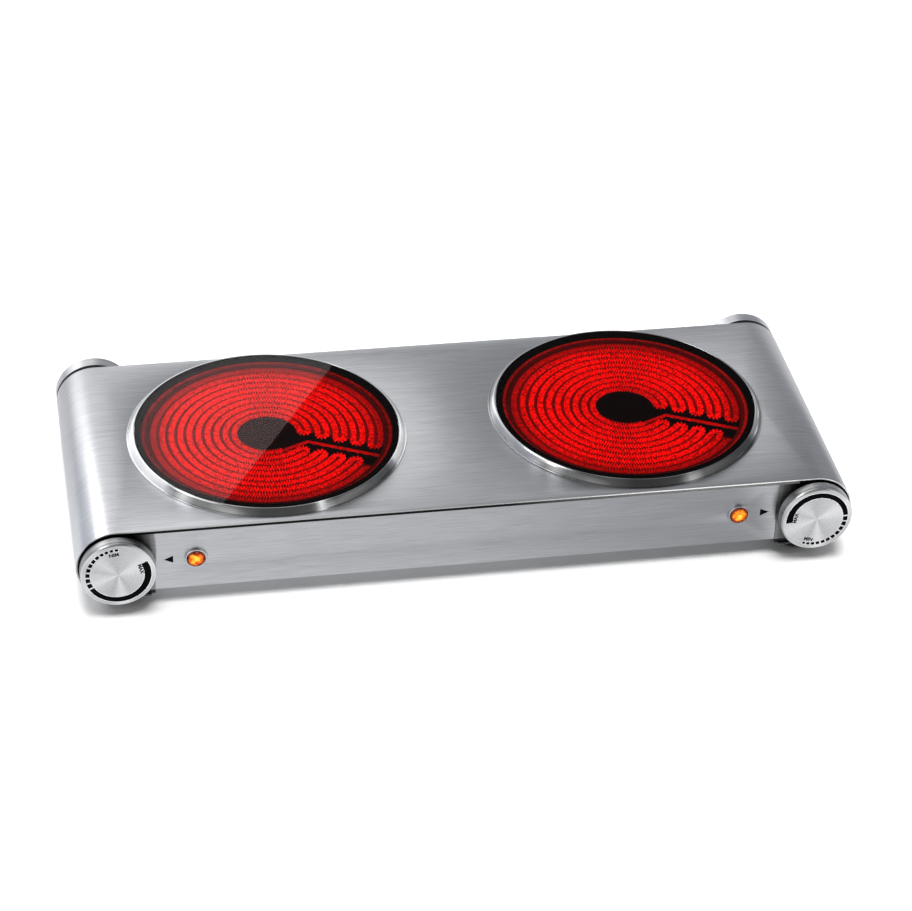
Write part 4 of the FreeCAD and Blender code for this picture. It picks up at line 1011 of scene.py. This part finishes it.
# %% [markdown]
# ## Soft edges on the sheets
# A cut sheet never has a perfectly sharp edge: it is broken with a stone, and the tiny round picks
# up a line of light. The frame's sheets are copied, merged into one skin, and given a narrow
# Bevel whose faces take a second, brighter finish, a painted highlight along each edge. The front
# panel's bent ends are squared and drawn out a little, so that no dark groove shows beside the
# knobs.

# %% Sheets with broken edges
# Faces of the top sheet lower than SHADOWED_EDGE above its lowest point are painted black as shade.
SHADOWED_EDGE = 1.2 * MM
SHARP, FLAT = math.radians(40), math.radians(0.4)
TOUCH, CUT_DEPTH = 0.03 * MM, 0.2 * MM
under_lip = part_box("top_cover")[0].z + SHADOWED_EDGE


def square_ends(node, run_out):
    """In edit mode, cuts a sheet's bent ends off and draws the flat out in their place."""
    flat_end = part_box(node)[1].x - run_out
    pick("verts", lambda at, way: abs(at.x) > flat_end + TOUCH)
    bpy.ops.mesh.delete(type="VERT")
    for end in (-1, 1):
        cut = pick("edges", lambda at, way: at.x * end > flat_end - TOUCH)
        pull(end * (run_out - 0.04 * MM), 0, 0)
        bpy.ops.mesh.edge_face_add()
        print("squared an end of", node, "from", cut, "edges")
    bpy.ops.mesh.select_all(action="SELECT")
    bpy.ops.mesh.normals_make_consistent(inside=False)


def finish_lip(mesh, lip):
    """Gives the sheet's front cut its own finish, and paints what lies below the lip's height black
    as painted shade.
    """
    mesh.materials.append(lip)
    mesh.materials.append(plastic_finish)
    front = min(vert.co.y for vert in mesh.vertices)
    for face in mesh.polygons:
        if face.center.z < under_lip:
            face.material_index = 3
        elif face.normal.y < -0.9 and face.center.y < front + CUT_DEPTH:
            face.material_index = 2


def broken_edges(node, finish, width, lip=None, run_out=0.0):
    """A copy of a sheet with narrow round edges; lip finishes its front cut."""
    clear_selection()
    piece = bpy.data.objects.new(node + "_sheet", nodes[node].data.copy())
    scene.collection.objects.link(piece)
    bpy.context.view_layer.objects.active = piece
    piece.select_set(True)
    edit()
    bpy.ops.mesh.select_all(action="SELECT")
    bpy.ops.mesh.customdata_custom_splitnormals_clear()
    bpy.ops.mesh.remove_doubles(threshold=0.002 * MM)
    bpy.ops.mesh.dissolve_limited(angle_limit=FLAT)
    if lip:
        bpy.ops.mesh.select_all(action="SELECT")
        bpy.ops.mesh.bisect(plane_co=(0, 0, under_lip), plane_no=(0, 0, 1))
    if run_out:
        square_ends(node, run_out)
    bpy.ops.object.mode_set(mode="OBJECT")
    piece.data.materials.clear()
    piece.data.materials.append(finish)
    piece.data.materials.append(edge_painted_highlight)
    if lip:
        finish_lip(piece.data, lip)
    soften = piece.modifiers.new("broken_edge", "BEVEL")
    soften.width, soften.segments, soften.material = width, 2, 1
    soften.limit_method, soften.angle_limit = "ANGLE", SHARP
    bpy.ops.object.modifier_apply(modifier=soften.name)
    bpy.ops.object.shade_smooth_by_angle(angle=math.radians(35))
    seat(piece, "chassis", [node])


broken_edges("top_cover", cover_finish, 0.16 * MM, lip=lip_painted_highlight)
broken_edges("front_panel", panel_finish, 0.15 * MM, run_out=2.0 * MM)
broken_edges("rear_panel", panel_finish, 0.15 * MM)

# %% [markdown]
# ## The heating ribbon
# The heater is one thin strip of alloy, crimped into waves and stood on its edge in a long winding
# path with a slot on one side. The path is drawn first. Each turn is a circle that is opened at the
# slot, and each pair of turns gets a small half circle where the strip turns back.

# %% Turns and loops
RIBBON_TURNS = 10
INNER_TURN, TURN_PITCH = 22.2 * MM, 6.1 * MM
OUTER_TURN = INNER_TURN + (RIBBON_TURNS - 1) * TURN_PITCH
SLOT_HALF = 11.2 * MM
INNER_END = math.radians(-37)
OUTER_END = -math.asin(15.0 * MM / OUTER_TURN)
STEPS_PER_MM = 3.2
END_REACH = 2.6 * MM
LOOP_STEPS = 20


def slot_angle(radius):
    """The angle at which a turn of this radius meets the slot."""
    return math.asin(SLOT_HALF / radius)


def cut_selected(test):
    """Deletes the selected verts whose place passes the test."""
    shape = bmesh.from_edit_mesh(bpy.context.object.data)
    for vert in shape.verts:
        if vert.select:
            vert.select_set(test(vert.co))
    bmesh.update_edit_mesh(bpy.context.object.data)
    bpy.ops.mesh.delete(type="VERT")


def draw_turn(turn):
    """One circle, opened at the slot."""
    radius = INNER_TURN + turn * TURN_PITCH
    upper_first = 1 if turn % 2 == 0 else -1
    start = slot_angle(radius + upper_first * TURN_PITCH / 2)
    stop = -slot_angle(radius - upper_first * TURN_PITCH / 2)
    if turn == 0:
        stop = INNER_END
    if turn == RIBBON_TURNS - 1:
        stop = OUTER_END
    bpy.ops.mesh.select_all(action="DESELECT")
    bpy.ops.mesh.primitive_circle_add(
        vertices=int(radius / MM * STEPS_PER_MM), radius=radius, location=(0, 0, 0))
    cut_selected(lambda at: stop <= math.atan2(at.y, at.x) <= start)


def draw_loop(turn):
    """The half circle that joins a turn to the next one."""
    middle = INNER_TURN + (turn + 0.5) * TURN_PITCH
    above = 1 if turn % 2 == 0 else -1
    angle = above * slot_angle(middle)
    centre = Vector((middle * math.cos(angle), middle * math.sin(angle), 0))
    onward = Vector((-math.sin(angle), math.cos(angle), 0)) * above
    bpy.ops.mesh.select_all(action="DESELECT")
    bpy.ops.mesh.primitive_circle_add(
        vertices=LOOP_STEPS, radius=TURN_PITCH / 2, location=centre, rotation=(0, 0, angle))
    cut_selected(lambda at: (at - centre).dot(onward) > 0.05 * MM)


print(RIBBON_TURNS, "turns, from", round(INNER_TURN / MM, 1), "to", round(OUTER_TURN / MM, 1), "mm")

# %% [markdown]
# The pieces lie close end to end. Joining every loose end to its nearest neighbour makes one long
# run, which is then turned into a curve whose length decides how many waves fit along it.


# %% Path of the ribbon
def join_ends(reach):
    """Joins each loose end to the nearest loose end of another run; returns how many are left."""
    while True:
        shape = bmesh.from_edit_mesh(bpy.context.object.data)
        loose = [vert for vert in shape.verts if len(vert.link_edges) == 1]
        pairs = [
            ((a.co - b.co).length, i, j)
            for i, a in enumerate(loose) for j, b in enumerate(loose)
            if i < j and (a.co - b.co).length < reach
        ]
        if not pairs:
            return len(loose)
        gap, i, j = min(pairs)
        bpy.ops.mesh.select_all(action="DESELECT")
        loose[i].select_set(True)
        loose[j].select_set(True)
        bmesh.update_edit_mesh(bpy.context.object.data)
        bpy.ops.mesh.edge_face_add()


clear_selection()
bpy.ops.mesh.primitive_circle_add(vertices=8, radius=1 * MM, location=(0, 0, 0))
edit()
bpy.ops.mesh.delete(type="VERT")
for turn in range(RIBBON_TURNS):
    draw_turn(turn)
for turn in range(RIBBON_TURNS - 1):
    draw_loop(turn)
bpy.ops.mesh.select_mode(type="VERT")
ends_left = join_ends(END_REACH)
bpy.ops.object.mode_set(mode="OBJECT")
path = bpy.context.object
bpy.ops.object.convert(target="CURVE")
path.data.dimensions = "3D"
path.data.twist_mode = "Z_UP"
path_length = sum(spline.calc_length() for spline in path.data.splines)
print("path", round(path_length, 3), "m in", len(path.data.splines), "run, loose ends", ends_left)

# %% [markdown]
# One wave is modelled from a flat grid whose columns are swayed along a sine. An Array modifier
# repeats it, a Curve modifier bends the row along the path, and Solidify gives it its thickness.

# %% One wave, repeated and bent
ribbon_low, ribbon_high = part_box("left_heating_ribbon")
ribbon_height = ribbon_high.z - ribbon_low.z
WAVE, WAVE_STEPS, WAVE_REACH = 1.9 * MM, 6, 1.95 * MM
STRIP = 0.38 * MM
waves = int(path_length / WAVE)
wave_length = path_length / waves
clear_selection()
bpy.ops.mesh.primitive_grid_add(
    x_subdivisions=WAVE_STEPS, y_subdivisions=1, size=1, rotation=(math.pi / 2, 0, 0))
bpy.ops.transform.resize(value=(wave_length, 1, ribbon_height))
strip = bpy.context.object
bpy.ops.object.transform_apply(location=True, rotation=True, scale=True)
edit()
for step in range(WAVE_STEPS + 1):
    column = wave_length * (step / WAVE_STEPS - 0.5)
    pick("verts", lambda at, way: abs(at.x - column) < 0.01 * MM)
    sway = WAVE_REACH * math.sin(2 * math.pi * step / WAVE_STEPS)
    bpy.ops.transform.translate(value=(0, sway, 0))
bpy.ops.mesh.select_all(action="SELECT")
bpy.ops.transform.translate(value=(wave_length / 2, 0, 0))
bpy.ops.object.mode_set(mode="OBJECT")
repeat = strip.modifiers.new("waves", "ARRAY")
repeat.count = waves
repeat.use_merge_vertices = True
repeat.merge_threshold = 0.01 * MM
bend = strip.modifiers.new("winding", "CURVE")
bend.object = path
thick = strip.modifiers.new("strip", "SOLIDIFY")
thick.thickness, thick.offset = STRIP, 0
for modifier in (repeat, bend, thick):
    bpy.ops.object.modifier_apply(modifier=modifier.name)
print("strip of", waves, "waves,", len(strip.data.polygons), "faces")
ribbon = strip, "glowing_ribbon", ribbon_finish, (ribbon_low.z + ribbon_high.z) / 2
keep_in_zones([ribbon], "heating_ribbon", 40, SLOT_TURN)
bpy.data.objects.remove(path)

# %% [markdown]
# The ribbon stands in a bed of pressed fibre, sunk to most of its height, so that only its crests
# glow above the dark fibre. The bed is a disc that is inset again and again; every second inset
# sinks a little and the next rises again, which presses a low groove under each of the turns.

# %% Fibre bed
BED_RADIUS = OUTER_TURN + TURN_PITCH / 2
FLAT_HALF, RIDGE_SLOPE, RIDGE_LIFT = 1.3 * MM, 0.5 * MM, 0.3 * MM
BED_RING = [
    (TURN_PITCH / 2 - FLAT_HALF, 0), (RIDGE_SLOPE, -RIDGE_LIFT),
    (2 * FLAT_HALF - RIDGE_SLOPE, 0), (RIDGE_SLOPE, RIDGE_LIFT),
    (TURN_PITCH / 2 - FLAT_HALF - RIDGE_SLOPE, 0),
]
BED_DOWN = 1.5 * MM
bed_top = ribbon_high.z - BED_DOWN
clear_selection()
bpy.ops.mesh.primitive_circle_add(
    vertices=128, radius=BED_RADIUS, fill_type="NGON", location=(0, 0, 0))
edit()
for thickness, depth in BED_RING * RIBBON_TURNS:
    bpy.ops.mesh.inset(thickness=thickness, depth=depth)
pick("edges", lambda at, way: at.xy.length > BED_RADIUS - 0.1 * MM)
pull(0, 0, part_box("left_insulation_bed")[0].z - bed_top)
bpy.ops.mesh.edge_face_add()
bed = face_outward(), "fibre_bed", bed_finish, bed_top
keep_in_zones([bed], "insulation_bed", 40)
print("bed's surface", round(bed_top / MM, 2), "mm up")

# %% [markdown]
# The ribbon's leads leave the winding through the slot. They are plain bars without waves: one runs
# along the slot's middle, one joins it to the innermost turn, and one leaves the outermost turn.

# %% Leads
LEAD_START, LEAD_REACH = 29.0 * MM, 80.3 * MM
LEAD_WIDE, LEAD_TALL, LEAD_OVERLAP, LEAD_DOWN = (size * MM for size in (1.8, 2.2, 0.6, 1.6))
inner_ray = Vector((math.cos(INNER_END), math.sin(INNER_END), 0))
outer_ray = Vector((math.cos(OUTER_END), math.sin(OUTER_END), 0))
slot_ray = Vector((1, 0, 0))
leads = []
for title, start, stop in (
    ("slot_lead", slot_ray * LEAD_START, slot_ray * LEAD_REACH),
    ("inner_lead", inner_ray * INNER_TURN, slot_ray * LEAD_START),
    ("outer_lead", outer_ray * OUTER_TURN, outer_ray * LEAD_REACH),
):
    run = stop - start
    bar = soft_bar((run.length + LEAD_OVERLAP, LEAD_WIDE, LEAD_TALL), 0.15 * MM, 1)
    bar.rotation_euler = (0, 0, math.atan2(run.y, run.x))
    bar.location = (start + stop) / 2
    bpy.ops.object.transform_apply(location=True, rotation=True)
    leads.append((bar, title, lead_finish, ribbon_high.z - LEAD_DOWN))
keep_in_zones(leads, turn=SLOT_TURN)

# %% [markdown]
# ## Marks on the knobs
# Each knob carries a black crescent that swells towards full heat, eleven dashes that shrink
# towards the lowest setting, and the two short words that every such dial has. Every mark starts
# as a single edge as long as the mark is wide, on a ray of the knob's face.

# %% Sizes of the marks
MARK_OUTER, MARK_THICK = 21.5 * MM, 0.05 * MM
CRESCENT_WIDE, CRESCENT_NARROW, DASH_NARROWING = 4.7 * MM, 3.3 * MM, 1.4 * MM
ETCH, DASH_ETCH, SUNK = 0.42 * MM, 0.252 * MM, 0.01 * MM
DASHES = 11
DASH_SPAN = math.radians(120)
FIRST_DASH, LAST_DASH, DASH_GAP = (math.radians(turn) for turn in (9.9, 6.0, 2.9))
SPIN_STEP, LAST_MARK = 4, math.radians(330)
FULL_HEAT = {"left": math.radians(28), "right": math.radians(185)}


def mark_width(angle):
    """Radial width of the marks at an angle clockwise from full heat."""
    if angle <= math.pi:
        return CRESCENT_WIDE + (CRESCENT_NARROW - CRESCENT_WIDE) * angle / math.pi
    return CRESCENT_NARROW - DASH_NARROWING * (angle - math.pi) / DASH_SPAN


def single_edge(inner, outer, angle):
    """Edit mode on a new mesh with one edge along a ray of the knob's face."""
    clear_selection()
    bpy.ops.mesh.primitive_plane_add(size=1, location=(0, 0, 0), rotation=(math.pi / 2, 0, 0))
    bpy.ops.object.transform_apply(rotation=True)
    edit()
    bpy.ops.mesh.delete(type="ONLY_FACE")
    pick("verts", lambda at, way: at.z > 0)
    bpy.ops.mesh.delete(type="VERT")
    shape = bmesh.from_edit_mesh(bpy.context.object.data)
    ends = sorted(shape.verts, key=lambda vert: vert.co.x)
    for vert, radius in zip(ends, (inner, outer)):
        bpy.ops.mesh.select_all(action="DESELECT")
        vert.select_set(True)
        goal = Vector((radius * math.cos(angle), 0, radius * math.sin(angle)))
        bmesh.update_edit_mesh(bpy.context.object.data)
        bpy.ops.transform.translate(value=goal - vert.co)
    bpy.ops.mesh.select_mode(type="EDGE")
    bpy.ops.mesh.select_all(action="SELECT")


print("marks reach", round(MARK_OUTER / MM, 1), "mm from the knob's middle")

# %% [markdown]
# Spin sweeps the edge round the knob's axis, the inner side is scaled to the width that the mark
# has at each angle, and an extrusion gives the mark a thickness. A slightly larger and thinner copy
# in a pale finish lies under each mark as its etched edge.


# %% Crescent and dashes
def arc_mark(knob, title, start, stop, finish, margin, rise):
    """A flat mark along an arc of a knob's face; angles run clockwise from full heat."""
    outer = MARK_OUTER + margin
    spare = margin / MARK_OUTER
    width = mark_width(start) + 2 * margin
    single_edge(outer - width, outer, FULL_HEAT[knob] - start + spare)
    steps = max(2, int(math.degrees(stop - start) / SPIN_STEP))
    sweep = stop - start + 2 * spare
    bpy.ops.mesh.spin(steps=steps, angle=-sweep, center=(0, 0, 0), axis=(0, 1, 0))
    bpy.ops.mesh.select_all(action="SELECT")
    bpy.ops.mesh.remove_doubles(threshold=0.001 * MM)
    shape = bmesh.from_edit_mesh(bpy.context.object.data)
    for vert in shape.verts:
        radius = vert.co.xz.length
        if radius < outer - 0.2 * MM:
            angle = (FULL_HEAT[knob] - math.atan2(vert.co.z, vert.co.x)) % (2 * math.pi)
            angle = min(max(angle, start), stop) if angle <= LAST_MARK else start
            vert.co *= (outer - mark_width(angle) - 2 * margin) / radius
    bmesh.update_edit_mesh(bpy.context.object.data)
    bpy.ops.mesh.normals_make_consistent(inside=False)
    pull(0, -rise, 0)
    face_outward().location = knob_middle[knob] + Vector((0, SUNK, 0))
    keep(f"{knob}_{title}", knob + "_knob", finish)


def etched_mark(knob, title, edge_title, start, stop, etch):
    """A black mark with its pale etched edge."""
    arc_mark(knob, title, start, stop, print_finish, 0.0, MARK_THICK)
    arc_mark(knob, edge_title, start, stop, etch_finish, etch, MARK_THICK * 0.5)


for knob in ("left", "right"):
    etched_mark(knob, "crescent", "crescent_edge", 0.0, math.pi, ETCH)
    start = math.pi + DASH_GAP
    for index in range(DASHES):
        length = FIRST_DASH + (LAST_DASH - FIRST_DASH) * index / (DASHES - 1)
        titles = f"dash_{index + 1}", f"dash_edge_{index + 1}"
        etched_mark(knob, *titles, start, start + length, DASH_ETCH)
        start += length + DASH_GAP

# %% [markdown]
# Letters come from a Text object that is given a thickness and turned into a mesh.

# %% Words
WORDS = {"MAX": (13, 15.2 * MM, math.radians(-90)), "MIN": (290, 17.0 * MM, math.radians(90))}
for knob in ("left", "right"):
    for text, (clockwise, radius, lean) in WORDS.items():
        clear_selection()
        bpy.ops.object.text_add(rotation=(math.pi / 2, 0, 0))
        letters = bpy.context.object.data
        letters.body, letters.size = text, 3.6 * MM
        letters.align_x = letters.align_y = "CENTER"
        letters.extrude, letters.offset = MARK_THICK / 2, 0.15 * MM
        letters.resolution_u = 4
        bpy.ops.object.convert(target="MESH")
        bpy.ops.object.transform_apply(rotation=True)
        word = bpy.context.object
        angle = FULL_HEAT[knob] - math.radians(clockwise)
        word.rotation_euler = (0, -(angle + lean), 0)
        ray = Vector((math.cos(angle), 0, math.sin(angle)))
        word.location = knob_middle[knob] + ray * radius
        keep(f"{knob}_word_{text.lower()}", knob + "_knob", print_finish)

# %% [markdown]
# ## Arrows on the front panel
# A small black triangle points from each lamp towards its knob. A three-sided cylinder is turned to
# face the front and squeezed to the arrow's size.

# %% Arrows
ARROW_TIP, ARROW_BASE, ARROW_HALF = 204.4 * MM, 198.4 * MM, 2.8 * MM
panel_low, panel_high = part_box("front_panel")
clear_selection()
bpy.ops.mesh.primitive_cylinder_add(
    vertices=3, radius=1, depth=0.06, rotation=(math.pi / 2, 0, 0))
bpy.ops.object.transform_apply(rotation=True)
edit()
bpy.ops.mesh.bevel(offset=0.02, segments=1)
bpy.ops.object.mode_set(mode="OBJECT")
arrow = bpy.context.object
arrow.rotation_euler = (0, math.radians(90), 0)
bpy.ops.object.transform_apply(rotation=True)
corners = [vert.co for vert in arrow.data.vertices]
tip, base = max(corner.x for corner in corners), min(corner.x for corner in corners)
half = max(corner.z for corner in corners)
arrow.scale = ((ARROW_TIP - ARROW_BASE) / (tip - base), MM, ARROW_HALF / half)
bpy.ops.object.transform_apply(scale=True)
off_middle = (tip + base) / 2 * (ARROW_TIP - ARROW_BASE) / (tip - base)
reach = (ARROW_TIP + ARROW_BASE) / 2 - off_middle
for name, side_sign in (("left", -1), ("right", 1)):
    at = (side_sign * reach, panel_low.y - 0.02 * MM, lamp_middle.z + 0.1 * MM)
    stand(arrow, at, (0, math.pi if side_sign < 0 else 0, 0))
    keep(name + "_arrow", "chassis", print_finish)
bpy.data.objects.remove(arrow)

# %% [markdown]
# ## Dark joins
# A black strip fills the gap under the top sheet's front edge and a thin black ring lies under
# each trim ring: dark pieces that stand for the shade in these joins, as painted shade. A black
# border is printed round each glass. From above they show only as fine dark lines, but they make
# the joins crisp. The strip is a bar with bevelled edges; the rings are discs inset to a narrow
# band, with the middle taken out.

# %% Dark joins and printed borders
STRIP_SIZE = Vector((448.0, 1.2, 3.0)) * MM
RING_OVERLAP, RING_WIDE = 0.75 * MM, 1.1 * MM
BORDER_OUTER, BORDER_WIDE = 89.5 * MM, 4.0 * MM
EDGE = 0.1 * MM


def band(radius, insets):
    """A disc at the origin, inset by each (width, depth) in turn, with its middle taken out."""
    clear_selection()
    bpy.ops.mesh.primitive_circle_add(
        vertices=160, radius=radius, fill_type="NGON", location=(0, 0, 0))
    edit()
    for thickness, depth in insets:
        bpy.ops.mesh.inset(thickness=thickness, depth=depth)
    bpy.ops.mesh.delete(type="FACE")
    return face_outward()


strip = soft_bar(STRIP_SIZE, EDGE, 2)
strip.location = (0, panel_low.y + 0.1 * MM, panel_high.z - 0.05 * MM - STRIP_SIZE.z / 2)
keep("front_painted_shade_strip", "chassis", strip_painted_shade, smooth=30)
ring_low, ring_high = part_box("left_trim_ring")
ring_radius = (ring_high.x - ring_low.x) / 2 + RING_OVERLAP
ring_shade_band = band(ring_radius, [(EDGE, -0.22 * MM), (RING_WIDE, 0)])
border = band(BORDER_OUTER, [(EDGE, -EDGE), (BORDER_WIDE - 2 * EDGE, 0), (EDGE, EDGE)])
keep_in_zones([
    (ring_shade_band, "ring_gasket", plastic_finish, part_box("top_cover")[1].z + 0.02 * MM),
    (border, "glass_border", print_finish, glass_top + 0.01 * MM),
], smooth=30)

# %% [markdown]
# ## Cut lamp lenses
# The lamp's orange lens is cut like a jewel. The front of a disc is inset twice, and every face on
# its front is poked, which raises a small pyramid on it.

# %% Lens
LENS_RADIUS, LENS_THICK, LENS_SINK = 6.4 * MM, 1.0 * MM, 0.45 * MM
clear_selection()
bpy.ops.mesh.primitive_cylinder_add(
    vertices=16, radius=LENS_RADIUS, depth=LENS_THICK, rotation=(math.pi / 2, 0, 0))
bpy.ops.object.transform_apply(rotation=True)
lens = bpy.context.object
edit()
pick("faces", lambda at, way: way.y < -0.9)
bpy.ops.mesh.inset(thickness=2.1 * MM, depth=0.45 * MM)
bpy.ops.mesh.inset(thickness=2.0 * MM, depth=0.35 * MM)
pick("faces", lambda at, way: way.y < -0.5)
bpy.ops.mesh.poke(offset=0.55 * MM)
bpy.ops.object.mode_set(mode="OBJECT")
lens_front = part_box("right_lamp_bezel")[0].y + LENS_SINK
for name, side_sign in (("left", -1), ("right", 1)):
    stand(lens, (side_sign * lamp_middle.x, lens_front, lamp_middle.z))
    keep(name + "_cut_lens", "chassis", lens_finish, [name + "_lamp_lens"])
bpy.data.objects.remove(lens)

# %% [markdown]
# ## Round rubber feet
# A pressed rubber foot has no sharp edge where it meets the table. Its bottom rim is rounded wide,
# a recess for its screw's head is pushed up into it, and a bore for the screw runs through.

# %% Feet
PLAIN_FOOT_RADIUS, FOOT_RADIUS = 9.0 * MM, 11.4 * MM
BOTTOM_ROUND, TOP_ROUND = 3.2 * MM, 0.8 * MM
HEAD_GAP, RECESS, BORE_RADIUS = 0.6 * MM, 3.0 * MM, 2.0 * MM
feet_low, feet_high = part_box("feet")
foot_x = feet_high.x - PLAIN_FOOT_RADIUS
foot_rows = feet_low.y + PLAIN_FOOT_RADIUS, feet_high.y - PLAIN_FOOT_RADIUS
foot_tall = feet_high.z - feet_low.z
recess_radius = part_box("foot_screws")[1].x - foot_x + HEAD_GAP
clear_selection()
bpy.ops.mesh.primitive_cylinder_add(
    vertices=64, radius=FOOT_RADIUS, depth=foot_tall, location=(0, 0, foot_tall / 2))
bpy.ops.object.transform_apply(location=True)
foot = bpy.context.object
edit()
pick("edges", lambda at, way: at.z < 0.1 * MM)
bpy.ops.mesh.bevel(offset=BOTTOM_ROUND, segments=6, affect="EDGES")
pick("edges", lambda at, way: at.z > foot_tall - 0.1 * MM)
bpy.ops.mesh.bevel(offset=TOP_ROUND, segments=3, affect="EDGES")
pick("faces", lambda at, way: way.z < -0.99 and at.z < 0.01 * MM)
bpy.ops.mesh.inset(thickness=FOOT_RADIUS - BOTTOM_ROUND - recess_radius, depth=0)
pull(0, 0, RECESS)
bpy.ops.mesh.inset(thickness=recess_radius - BORE_RADIUS, depth=0)
pick("faces", lambda at, way: way.z > 0.99 and at.z > foot_tall - 0.1 * MM)
bpy.ops.mesh.inset(thickness=FOOT_RADIUS - TOP_ROUND - BORE_RADIUS, depth=0)
print("bore ends", pick("faces", lambda at, way: at.xy.length < 0.1 * MM))
bpy.ops.mesh.bridge_edge_loops()
face_outward()
feet = [stand(foot, (x, y, feet_low.z)) for x in (-foot_x, foot_x) for y in foot_rows]
clear_selection()
for standing in feet:
    standing.select_set(True)
bpy.context.view_layer.objects.active = feet[0]
bpy.ops.object.join()
keep("rounded_feet", "chassis", rubber_finish, ["feet"], 35)
bpy.data.objects.remove(foot)
